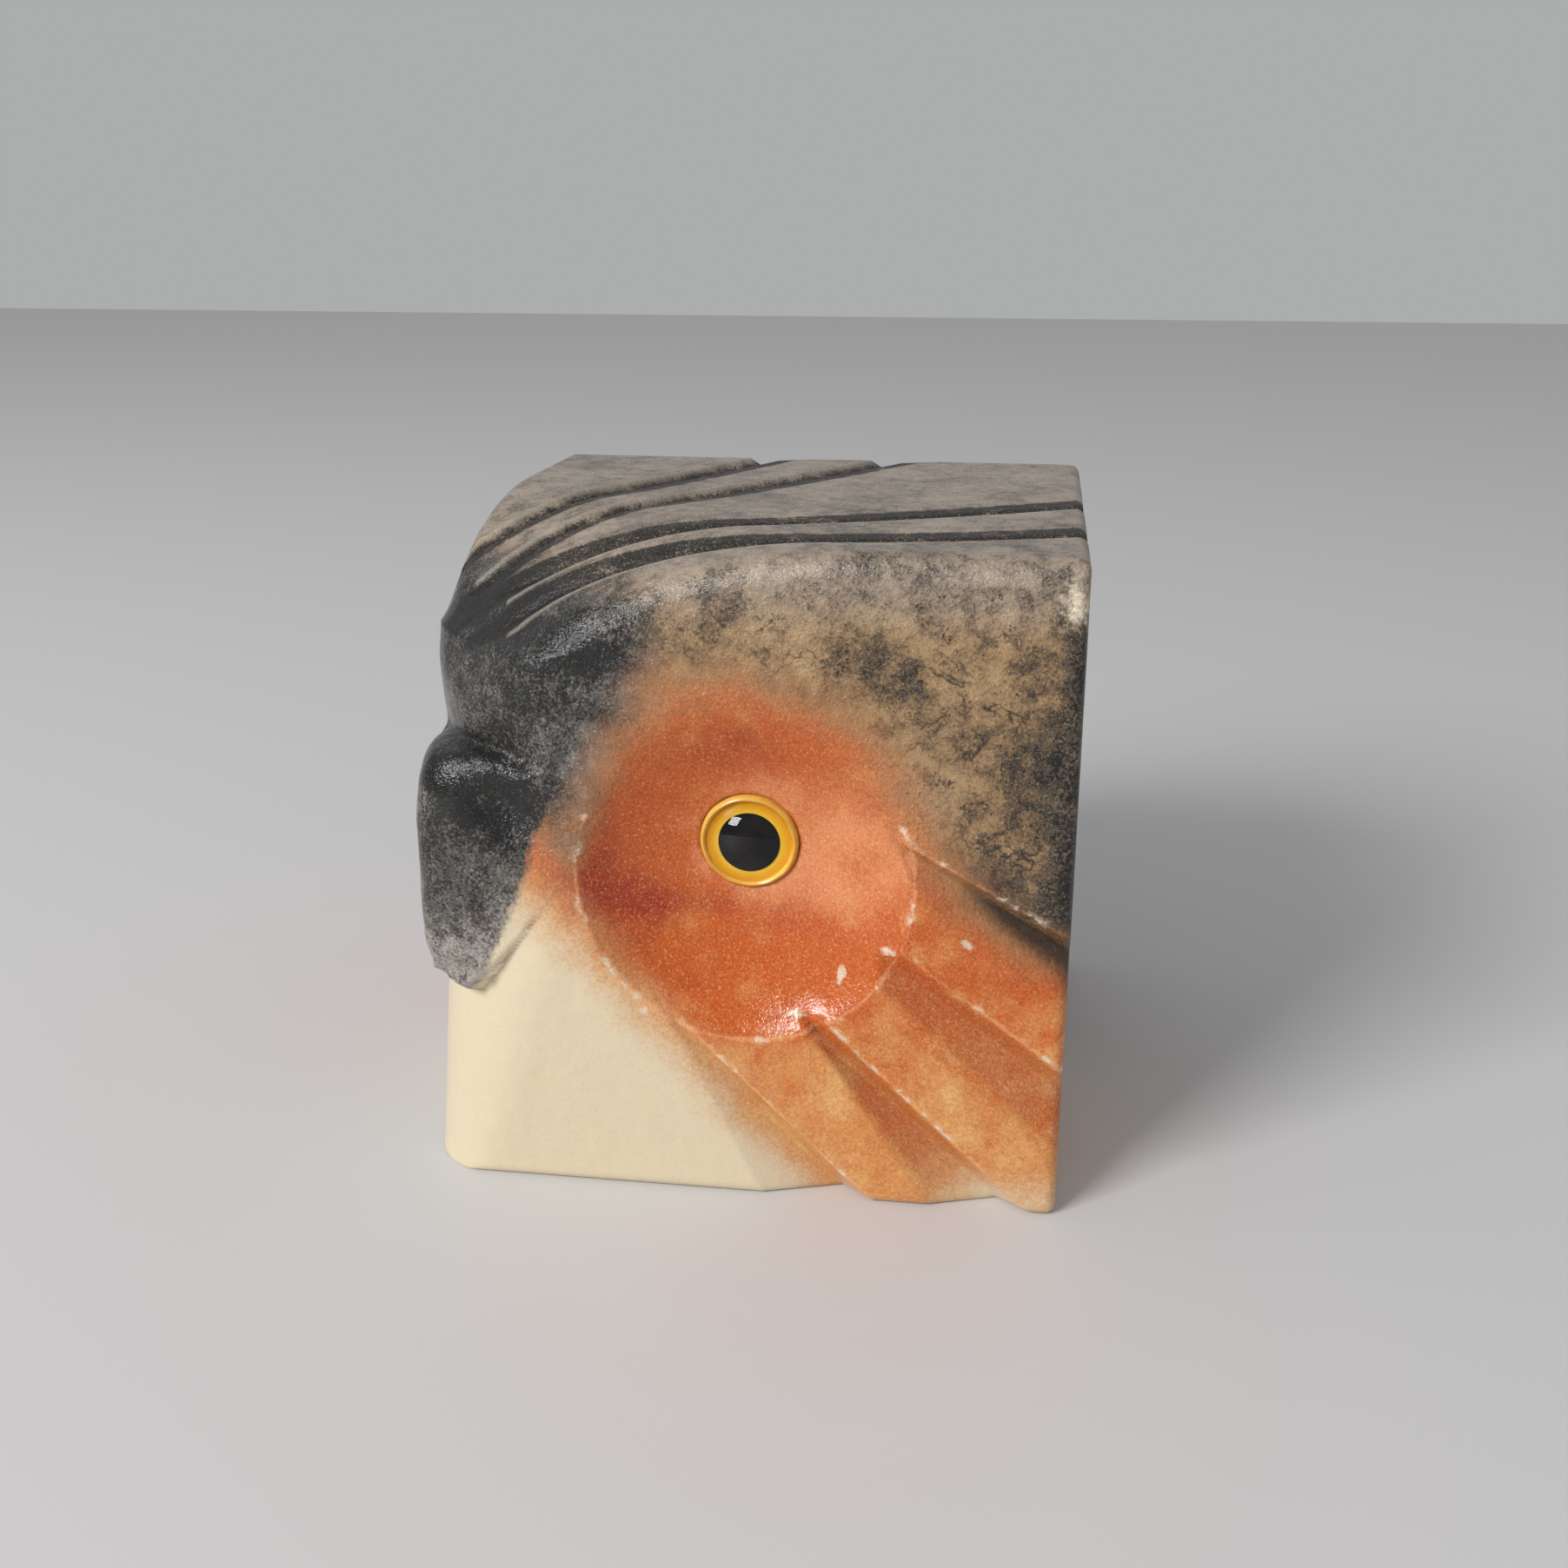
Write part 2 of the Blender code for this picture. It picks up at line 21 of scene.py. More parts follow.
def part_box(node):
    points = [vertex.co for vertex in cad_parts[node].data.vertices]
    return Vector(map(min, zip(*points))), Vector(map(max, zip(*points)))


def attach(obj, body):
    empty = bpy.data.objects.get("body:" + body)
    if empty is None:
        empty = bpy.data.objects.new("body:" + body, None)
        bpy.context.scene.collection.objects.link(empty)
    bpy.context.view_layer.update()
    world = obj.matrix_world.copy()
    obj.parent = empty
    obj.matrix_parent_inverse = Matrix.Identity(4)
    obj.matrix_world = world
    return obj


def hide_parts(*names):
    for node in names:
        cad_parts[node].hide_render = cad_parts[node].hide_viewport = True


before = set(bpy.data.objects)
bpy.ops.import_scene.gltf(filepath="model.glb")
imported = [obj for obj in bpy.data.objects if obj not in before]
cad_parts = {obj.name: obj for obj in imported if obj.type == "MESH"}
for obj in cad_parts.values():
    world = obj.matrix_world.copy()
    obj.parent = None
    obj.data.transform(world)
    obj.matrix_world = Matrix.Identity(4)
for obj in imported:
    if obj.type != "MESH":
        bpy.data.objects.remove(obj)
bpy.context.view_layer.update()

LOG = logging.getLogger("head")

# One millimetre, the unit that the small sizes are thought in
MM = 0.001

# The unit of the fields that tell how deep a point lies inside a band of stone
CENTIMETRE = 10 * MM

# The smallest length told from zero, and one that is past every reach
TINY = 1e-7
FAR = 1.0

# How rough the finer detail of every grain is
GRAIN_ROUGHNESS = 0.62

# Halvings when a point of a surface is looked for
HALVINGS = 24

Array = np.ndarray
Both = tuple[np.ndarray, np.ndarray]
Item = bpy.types.Object
Mesh = bpy.types.Mesh
Material = bpy.types.Material
Maker = bmesh.types.BMesh
Node = bpy.types.Node
Socket = bpy.types.NodeSocket
Tree = bpy.types.NodeTree
Pair = tuple[float, float]
Triple = tuple[float, float, float]
Line = tuple[Pair, Pair]
Tone = tuple[int, int, int]


class Face(Enum):
    """The two carved upright faces of the block."""

    NEAR = "left_eye"
    LEFT = "right_eye"


class Wall(Enum):
    """The side of a crown step's bed that its steep wall stands on."""

    RIGHT = -1
    LEFT = 1


def ease(value: Array, start: float, end: float) -> Array:
    """A smooth step.

    Args:
        value: Numbers to ease.
        start: Where the step leaves 0.
        end: Where it reaches 1.

    Returns:
        The eased numbers, from 0 to 1.
    """
    share = np.clip((value - start) / (end - start), 0.0, 1.0)
    return share * share * (3.0 - 2.0 * share)


def round_meet(first: Array, second: Array, radius: float | Array) -> Array:
    """Signed distance to two surfaces that meet in a rounded edge.

    Args:
        first: Signed distances to one surface.
        second: Signed distances to the other.
        radius: Radius of the edge.

    Returns:
        Signed distances to both together.
    """
    plain = (first <= -radius) | (second <= -radius)
    curved = np.hypot(first + radius, second + radius) - radius
    return np.where(plain, np.maximum(first, second), curved)


def soft_max(first: Array, second: Array, reach: float | Array) -> Array:
    """The larger of two depths, blended where they are nearly equal.

    Args:
        first: One depth.
        second: The other depth.
        reach: Difference of depth at which the blend ends.

    Returns:
        The blended depth.
    """
    near = np.clip(reach - np.abs(first - second), 0.0, None) / reach
    return np.maximum(first, second) + near * near * reach / 4.0


def arch(along: Array, height: Array, centre: Pair, reach: float, rise: float) -> Array:
    """Signed distance to a quarter of an ellipse that faces the front corner.

    Args:
        along: Distances along the head's middle plane.
        height: Heights.
        centre: The ellipse's centre, along and up.
        reach: Its half width.
        rise: Its half height.

    Returns:
        Signed distances, nearly true close to the ellipse.
    """
    across = (centre[0] - along) / reach
    up = (height - centre[1]) / rise
    size = np.maximum(np.hypot(across, up), TINY)
    slope = np.maximum(np.hypot(across / reach, up / rise) / size, TINY)
    return (size - 1.0) / slope


def search(outside: Callable[[Array], Array], outer: Array, inner: Array) -> Array:
    """Find where ways from open space into stone meet the surface, by halving them.

    Args:
        outside: Tells which places on the ways are still outside.
        outer: Places outside.
        inner: Places inside.

    Returns:
        Places just inside.
    """
    for _ in range(HALVINGS):
        middle = 0.5 * (outer + inner)
        out = outside(middle)
        outer = np.where(out, middle, outer)
        inner = np.where(out, inner, middle)
    return inner


@dataclass(frozen=True)
class Block:
    """The sawn block: its side, its height and the bevel of its sawn edges."""

    side: float
    height: float
    bevel: float = 2.1 * MM

    @classmethod
    def from_frame(cls, node: str) -> "Block":
        """Read the block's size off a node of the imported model."""
        low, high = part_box(node)
        return cls(side=high.x - low.x, height=high.z - low.z)

    def to_world(self, points: Array) -> Array:
        """Points of the corner frame in the world."""
        return points - np.array((self.side / 2, self.side / 2, 0.0))


@dataclass(frozen=True)
class BaseForm:
    """The head before its dishes, feathers and steps are cut, as a signed distance."""

    block: Block
    forehead_reach: float = 47 * MM
    forehead_rise: float = 0.308
    forehead_back: float = 60 * MM
    brow_edge: float = 4 * MM
    temple_edge: float = 13 * MM
    temple_foot: float = 0.671
    temple_top: float = 0.817
    crease_height: float = 0.6875
    crease_depth: float = 13.5 * MM
    crease_fall: float = 0.12
    crease_level_at: float = 19 * MM
    beak_front: float = 2.2 * MM
    shoulder_rise: float = 0.121
    shoulder_edge: float = 5 * MM
    tip_height: float = 0.308
    tip_rise: float = 0.104
    tip_depth: float = 12 * MM
    beak_corner: float = 4.8 * MM
    crease_fillet: float = 0.8 * MM
    cheek_front: float = 19 * MM
    cheek_edge: float = 6 * MM
    gape_top: Pair = (31.6 * MM, 0.524)
    gape_foot: Pair = (11.7 * MM, 0.316)
    underside_slope: float = 0.46
    throat_foot: float = 14 * MM
    throat_spread: float = 0.30
    crown_edge: float = 3.5 * MM
    crease_span: Pair = (8 * MM, 30 * MM)
    hook_steepness: float = 3.0
    core_front: float = 0.30
    core_back: float = 0.75
    core_foot: float = 0.22
    core_top: float = 0.62

    def up(self, share: float) -> float:
        """A height from its share of the block's."""
        return share * self.block.height

    def forehead(self, u: Array, v: Array, z: Array) -> Array:
        """Signed distance to the forehead and the crown, which end at the crease.

        Args:
            u: Places to the right.
            v: Places backwards.
            z: Heights.

        Returns:
            Signed distances.
        """
        along = (u + v) / math.sqrt(2.0)
        foot = self.block.height - self.up(self.forehead_rise)
        dome = arch(np.minimum(along, self.forehead_back), np.maximum(z, foot),
                    (self.forehead_back, foot), self.forehead_reach, self.up(self.forehead_rise))
        dome = np.where(z > foot, dome, self.forehead_back - self.forehead_reach - along)
        dome = np.where(along > self.forehead_back, z - self.block.height, dome)
        hollow = 1.0 - ease(z, self.up(self.temple_foot), self.up(self.temple_top))
        radius = self.brow_edge + (self.temple_edge - self.brow_edge) * hollow
        near_side = round_meet(-v, dome, radius)
        left_side = round_meet(-u, dome, radius)
        crease = self.up(self.crease_height) - z - self.crease_drop(u + v)
        return np.maximum(np.maximum(near_side, left_side), crease)

    def crease_drop(self, away: Array) -> Array:
        """How far the crease has fallen at a distance u + v from the front corner."""
        return self.crease_fall * (np.clip(away, *self.crease_span) - self.crease_level_at)

    def beak(self, u: Array, v: Array, z: Array) -> Array:
        """Signed distance to the beak and the flat cheeks below the crease.

        Args:
            u: Places to the right.
            v: Places backwards.
            z: Heights.

        Returns:
            Signed distances.
        """
        along = (u + v) / math.sqrt(2.0)
        foot = self.up(self.crease_height - self.shoulder_rise)
        tip_top = self.up(self.tip_height + self.tip_rise)
        lifted = z + self.crease_drop(u + v) * ease(z, foot, self.up(self.crease_height))
        shoulder = arch(np.minimum(along, self.crease_depth), lifted, (self.crease_depth, foot),
                        self.crease_depth - self.beak_front, self.up(self.shoulder_rise))
        shoulder = np.where(along > self.crease_depth,
                            lifted - self.up(self.crease_height), shoulder)
        tip = arch(np.minimum(along, self.tip_depth), 2.0 * tip_top - z, (self.tip_depth, tip_top),
                   self.tip_depth - self.beak_front, self.up(self.tip_rise))
        tip = np.where(along > self.tip_depth, self.up(self.tip_height) - z, tip)
        ends = np.where(z > foot, shoulder, np.where(z < tip_top, tip, self.beak_front - along))
        corner = round_meet(-u, -v, self.beak_corner)
        return round_meet(corner, ends, self.shoulder_edge)

    def cheek(self, u: Array, v: Array, z: Array) -> Array:
        """Signed distance to the block behind the beak and under the crown.

        Args:
            u: Places to the right.
            v: Places backwards.
            z: Heights.

        Returns:
            Signed distances.
        """
        along = (u + v) / math.sqrt(2.0)
        body = round_meet(np.maximum(-u, -v), self.cheek_front - along, self.cheek_edge)
        return np.maximum(body, z - self.up(self.temple_top))

    def throat(self, u: Array, v: Array, z: Array) -> Array:
        """Signed distance to the throat, a corner rounding that opens upwards."""
        return round_meet(-u, -v, self.throat_foot + self.throat_spread * z)

    def gape_line(self, along: Array) -> Array:
        """Height of the beak's lower edge on a face, this far from the front corner.

        Args:
            along: Distances from the front corner.

        Returns:
            Heights.
        """
        (top_u, top_z), (foot_u, foot_z) = self.gape_top, self.gape_foot
        slope = self.up(top_z - foot_z) / (top_u - foot_u)
        straight = self.up(foot_z) + slope * (along - foot_u)
        arc = foot_u - self.beak_front
        share = np.clip((foot_u - along) / arc, 0.0, 1.0)
        hook = self.up(foot_z) + self.up(self.tip_rise) * (1.0 - np.sqrt(1.0 - share * share))
        past = self.hook_steepness * np.clip(self.beak_front - along, 0.0, None)
        return np.where(along > foot_u, straight, hook + past)

    def opening(self, u: Array, v: Array, z: Array) -> Array:
        """Distance into the open space under the beak, negative where stone stays.

        Args:
            u: Places to the right.
            v: Places backwards.
            z: Heights.

        Returns:
            Distances.
        """
        along = np.maximum(u, v)
        depth = np.minimum(u, v)
        under = self.gape_line(along) - self.underside_slope * depth - z
        return np.minimum(under, self.throat(u, v, z))

    def uncut(self, u: Array, v: Array, z: Array) -> Array:
        """Signed distance to the head with the beak's underside still whole.

        Args:
            u: Places to the right.
            v: Places backwards.
            z: Heights.

        Returns:
            Signed distances.
        """
        body = -round_meet(-self.forehead(u, v, z), -self.beak(u, v, z), self.crease_fillet)
        body = -round_meet(-body, -self.cheek(u, v, z), self.cheek_edge)
        rough = np.maximum(round_meet(-u, -v, self.throat_foot), z - self.up(self.gape_top[1]))
        body = np.minimum(body, rough)
        crown = round_meet(z - self.block.height, np.maximum(-u, -v), self.crown_edge)
        return np.maximum(body, crown)

    def sawn(self, u: Array, v: Array, z: Array) -> Array:
        """Signed distance to the sawn block with its bevelled edges.

        Args:
            u: Places to the right.
            v: Places backwards.
            z: Heights.

        Returns:
            Signed distances.
        """
        side = self.block.side
        bevel = self.block.bevel
        flank = round_meet(np.maximum(u, v) - side, -np.minimum(u, v), bevel)
        flank = np.maximum(flank, round_meet(u - side, v - side, bevel))
        ends = np.maximum(z - self.block.height, -z)
        return round_meet(flank, ends, bevel)

    def distance(self, u: Array, v: Array, z: Array) -> Array:
        """Signed distance to the whole base form, throat and sawn edges included."""
        body = np.maximum(self.uncut(u, v, z), self.opening(u, v, z))
        return np.maximum(body, self.sawn(u, v, z))

    def crown_height(self, u: Array, v: Array) -> Array:
        """Height of the base form's top at plan points, sawn edges included.

        Args:
            u: Places to the right.
            v: Places backwards.

        Returns:
            Heights.
        """
        low = np.full_like(u, self.up(self.temple_top))
        high = np.full_like(u, self.block.height)
        return search(lambda z: self.distance(u, v, z) > TINY, high, low)

    def settle(self, points: Array) -> Array:
        """Move points of the block's skin towards the block's core, onto the base form.

        Args:
            points: Points of the corner frame, on the sawn block's skin.

        Returns:
            The points on the base form.
        """
        low = np.array((self.core_front, self.core_front, self.core_foot)) * self.block.side
        back = self.core_back * self.block.side
        core = np.clip(points, low, np.array((back, back, self.up(self.core_top))))
        way = core - points
        share = search(lambda part: self.distance(*(points + way * part[:, None]).T) > 0.0,
                       np.zeros(len(points)), np.ones(len(points)))
        share = np.where(self.distance(*points.T) <= TINY, 0.0, share)
        return points + way * share[:, None]


class Edge(Enum):
    """What a crisp line is: a crest, the bed of a hollow, or the foot of a slope."""

    CREST = 1
    BED = 2
    FOOT = 3


@dataclass(frozen=True)
class Crease:
    """A line that the skin's points are drawn onto, so that its edge stays crisp.

    The line is where miss is zero. It takes the two plan coordinates of its face, and
    gives how far points lie beside the line and which of them it may take.
    """

    edge: Edge
    miss: Callable[[Array, Array], Both]
    crown: bool = False


@dataclass(frozen=True)
class Groove:
    """A groove under one cheek feather.

    Each line has its inner end at the dish and its outer end at the block's edge, as
    shares of the block's side and height.
    """

    name: str
    low: Line
    bed: Line
    high: Line
    depth_in: float
    depth_out: float


@dataclass(frozen=True)
class Spot:
    """A soft round patch of a carved face.

    Its place is a pair of shares of the block's side and height; its reaches lie along
    and across its tilt, in degrees. The strength is a depth or an amount of colour.
    """

    place: Pair
    reach: Pair
    strength: float
    tilt: float = 0.0

    def at(self, block: Block, away: Array, z: Array) -> Array:
        """The patch's strength at places of the face.

        Args:
            block: The sawn block.
            away: Places along the face, or sums u + v.
            z: Heights.

        Returns:
            The strengths.
        """
        turn = math.radians(self.tilt)
        off = away - self.place[0] * block.side
        up = z - self.place[1] * block.height
        along = (off * math.cos(turn) + up * math.sin(turn)) / self.reach[0]
        across = (up * math.cos(turn) - off * math.sin(turn)) / self.reach[1]
        return self.strength * np.exp(-along ** 2 - across ** 2)


@dataclass(frozen=True)
class CheekCarving:
    """The eye dish and the feathers of one carved face, as a depth over the face."""

    block: Block
    dish_u: float = 0.519
    dish_z: float = 0.5125
    dish_radius: float = 30 * MM
    bowl_radius: float = 56 * MM
    soft_top: float = 3.2 * MM
    crisp_edge: float = 0.25 * MM
    run_in: float = 8 * MM
    eye_above: float = 5.3 * MM
    seat_radius: float = 9.05 * MM
    seat_depth: float = 2.8 * MM
    soft_span: Pair = (0.30, 0.85)
    crisp_below: float = 0.4
    # How the painted shade comes in down the grooves' slopes
    slope_shade_start: float = 0.80
    slope_shade_span: Pair = (0.04, 0.34)
    rim_span: Pair = (-0.5 * MM, 1 * MM)
    soot_span: Pair = (0.80, 0.90)
    dents: tuple[Spot, ...] = (
        Spot((0.183, 0.677), (1.7 * MM, 1.1 * MM), 1.3 * MM, 30.0),
        Spot((0.198, 0.658), (1.7 * MM, 1.3 * MM), -0.5 * MM),
        Spot((0.160, 0.605), (8.0 * MM, 5.0 * MM), 1.9 * MM, -45.0),
        Spot((0.968, 0.948), (3.0 * MM, 2.4 * MM), 0.9 * MM, 40.0),
        Spot((0.900, 0.590), (6.0 * MM, 0.8 * MM), 0.25 * MM, 20.0),
        Spot((0.628, 0.318), (4.6 * MM, 4.0 * MM), 0.50 * MM),
    )
    grooves: tuple[Groove, ...] = (
        Groove("throat", ((0.414, 0.271), (0.549, 0.0)), ((0.429, 0.265), (0.671, 0.0)),
               ((0.447, 0.265), (0.722, 0.0)), 0.8 * MM, 5.2 * MM),
        Groove("lower", ((0.650, 0.233), (0.806, 0.0)), ((0.610, 0.293), (0.890, 0.021)),
               ((0.629, 0.313), (0.949, 0.013)), 2.2 * MM, 4.5 * MM),
        Groove("middle", ((0.749, 0.327), (0.976, 0.098)), ((0.728, 0.398), (1.0, 0.196)),
               ((0.751, 0.421), (1.0, 0.243)), 2.2 * MM, 3.6 * MM),
        Groove("upper", ((0.781, 0.494), (1.0, 0.337)), ((0.758, 0.571), (1.0, 0.418)),
               ((0.764, 0.583), (1.0, 0.454)), 1.8 * MM, 3.4 * MM),
    )

    def on_face(self, point: Pair) -> Array:
        """A face point from its shares of the block's side and height."""
        return np.array((point[0] * self.block.side, point[1] * self.block.height))

    def centre(self) -> Array:
        """The dish's centre on the face."""
        return self.on_face((self.dish_u, self.dish_z))

    def from_dish(self, u: Array, z: Array) -> Array:
        """Distances from the dish's centre."""
        centre = self.centre()
        return np.hypot(u - centre[0], z - centre[1])

    def dish(self, u: Array, z: Array) -> Array:
        """Depth of the dish, negative outside it.

        Args:
            u: Places along the face.
            z: Heights.

        Returns:
            Depths.
        """
        away = np.minimum(self.from_dish(u, z), 0.98 * self.bowl_radius)
        stand_off = math.sqrt(self.bowl_radius ** 2 - self.dish_radius ** 2)
        return np.sqrt(self.bowl_radius ** 2 - away ** 2) - stand_off

    def beside(self, line: Line, u: Array, z: Array) -> Both:
        """Where points lie against a line of the face.

        Args:
            line: The line's ends, as shares.
            u: Places along the face.
            z: Heights.

        Returns:
            How far the points lie above the line, and their shares of its length.
        """
        start, end = self.on_face(line[0]), self.on_face(line[1])
        run = end - start
        length = math.hypot(*run)
        side = (-(u - start[0]) * run[1] + (z - start[1]) * run[0]) / length
        share = ((u - start[0]) * run[0] + (z - start[1]) * run[1]) / length ** 2
        return side, share

    def across(self, groove: Groove, u: Array, z: Array) -> Both:
        """How far points are down a groove's slope or wall, and along its bed.

        Args:
            groove: The groove.
            u: Places along the face.
            z: Heights.

        Returns:
            Shares of the groove's depth, 1 at its bed, and shares of the bed's length.
        """
        below, _ = self.beside(groove.low, u, z)
        bed, share = self.beside(groove.bed, u, z)
        above, _ = self.beside(groove.high, u, z)
        slope = np.clip(below, 0.0, None) / np.maximum(below - bed, TINY)
        wall = np.clip(-above, 0.0, None) / np.maximum(bed - above, TINY)
        across = np.where(bed < 0.0, slope, wall)
        across = np.where((below <= 0.0) | (above >= 0.0), 0.0, np.clip(across, 0.0, 1.0))
        length = np.linalg.norm(self.on_face(groove.bed[1]) - self.on_face(groove.bed[0]))
        return across * ease(share * length, -self.run_in, -0.5 * self.run_in), share

    def groove_depth(self, groove: Groove, u: Array, z: Array) -> Array:
        """Depth of one groove, zero outside it.

        Args:
            groove: The groove.
            u: Places along the face.
            z: Heights.

        Returns:
            Depths.
        """
        across, share = self.across(groove, u, z)
        growth = (groove.depth_out - groove.depth_in) * np.clip(share, 0.0, 1.2)
        return across * (groove.depth_in + growth)

    def slope_shade(self, u: Array, z: Array) -> Array:
        """How much painted shade points outside the dish take down a groove's slope, from 0 to 1.

        Args:
            u: Places along the face.
            z: Heights.

        Returns:
            The shares.
        """
        total = np.zeros_like(u)
        for groove in self.grooves:
            if groove.name != "throat":
                down = self.across(groove, u, z)[0]
                start = self.slope_shade_start * ease(down, *self.slope_shade_span)
                total = np.maximum(total, start + (1.0 - self.slope_shade_start) * down)
        return total * ease(self.from_dish(u, z) - self.dish_radius, *self.rim_span)

    def sooty(self, u: Array, z: Array) -> Array:
        """How black the outer end of the upper groove is, from 0 to 1."""
        upper = next(groove for groove in self.grooves if groove.name == "upper")
        return self.across(upper, u, z)[0] * ease(u / self.block.side, *self.soot_span)

    def from_eye(self, u: Array, z: Array) -> Array:
        """Distances from the eye's middle."""
        centre = self.centre()
        return np.hypot(u - centre[0], z - centre[1] - self.eye_above)

    def depth(self, u: Array, z: Array) -> Array:
        """Depth of the whole carving at places of the face.

        Args:
            u: Places along the face.
            z: Heights.

        Returns:
            Depths.
        """
        total = np.zeros_like(u)
        for groove in self.grooves:
            total = np.maximum(total, self.groove_depth(groove, u, z))
        centre = self.centre()
        high = ease((z - centre[1]) / self.dish_radius, *self.soft_span)
        reach = self.crisp_edge + (self.soft_top - self.crisp_edge) * high
        total = soft_max(total, self.dish(u, z), reach)
        for dent in self.dents:
            total = total + dent.at(self.block, u, z)
        drilled = self.from_eye(u, z) < self.seat_radius - TINY
        return total + np.where(drilled, self.seat_depth, 0.0)

    def creases(self) -> list[Crease]:
        """The lines that stay crisp: the dish's rim and each groove's three lines.

        Returns:
            The lines.
        """
        lines = [Crease(Edge.CREST, self.rim_miss), Crease(Edge.FOOT, self.seat_miss)]
        for groove in self.grooves:
            lines.append(Crease(Edge.CREST, partial(self.line_miss, groove.high)))
            lines.append(Crease(Edge.BED, partial(self.line_miss, groove.bed)))
            lines.append(Crease(Edge.FOOT, partial(self.line_miss, groove.low)))
        return lines

    def rim_miss(self, u: Array, z: Array) -> Both:
        """How far points lie outside the dish's rim, and those below its soft top.

        Args:
            u: Places along the face.
            z: Heights.

        Returns:
            Distances, and the points that the rim may take.
        """
        centre = self.centre()
        below = z < centre[1] + self.crisp_below * self.dish_radius
        return self.from_dish(u, z) - self.dish_radius, below

    def seat_miss(self, u: Array, z: Array) -> Both:
        """How far points lie outside the drilled eye seat."""
        away = self.from_eye(u, z) - self.seat_radius
        return away, away < 3 * MM

    def line_miss(self, line: Line, u: Array, z: Array) -> Both:
        """How far points lie above a straight line, and those that it may take.

        Args:
            line: The line's ends, as shares.
            u: Places along the face.
            z: Heights.

        Returns:
            Distances, and the points that the line may take.
        """
        side, share = self.beside(line, u, z)
        open_face = self.from_dish(u, z) > self.dish_radius - 1.0 * MM
        return side, open_face & (share > -0.1) & (share < 1.3)


@dataclass(frozen=True)
class Step:
    """One long step over the crown: its bed's four guide points, as shares of the side."""

    guide: tuple[Pair, ...]
    wall: Wall


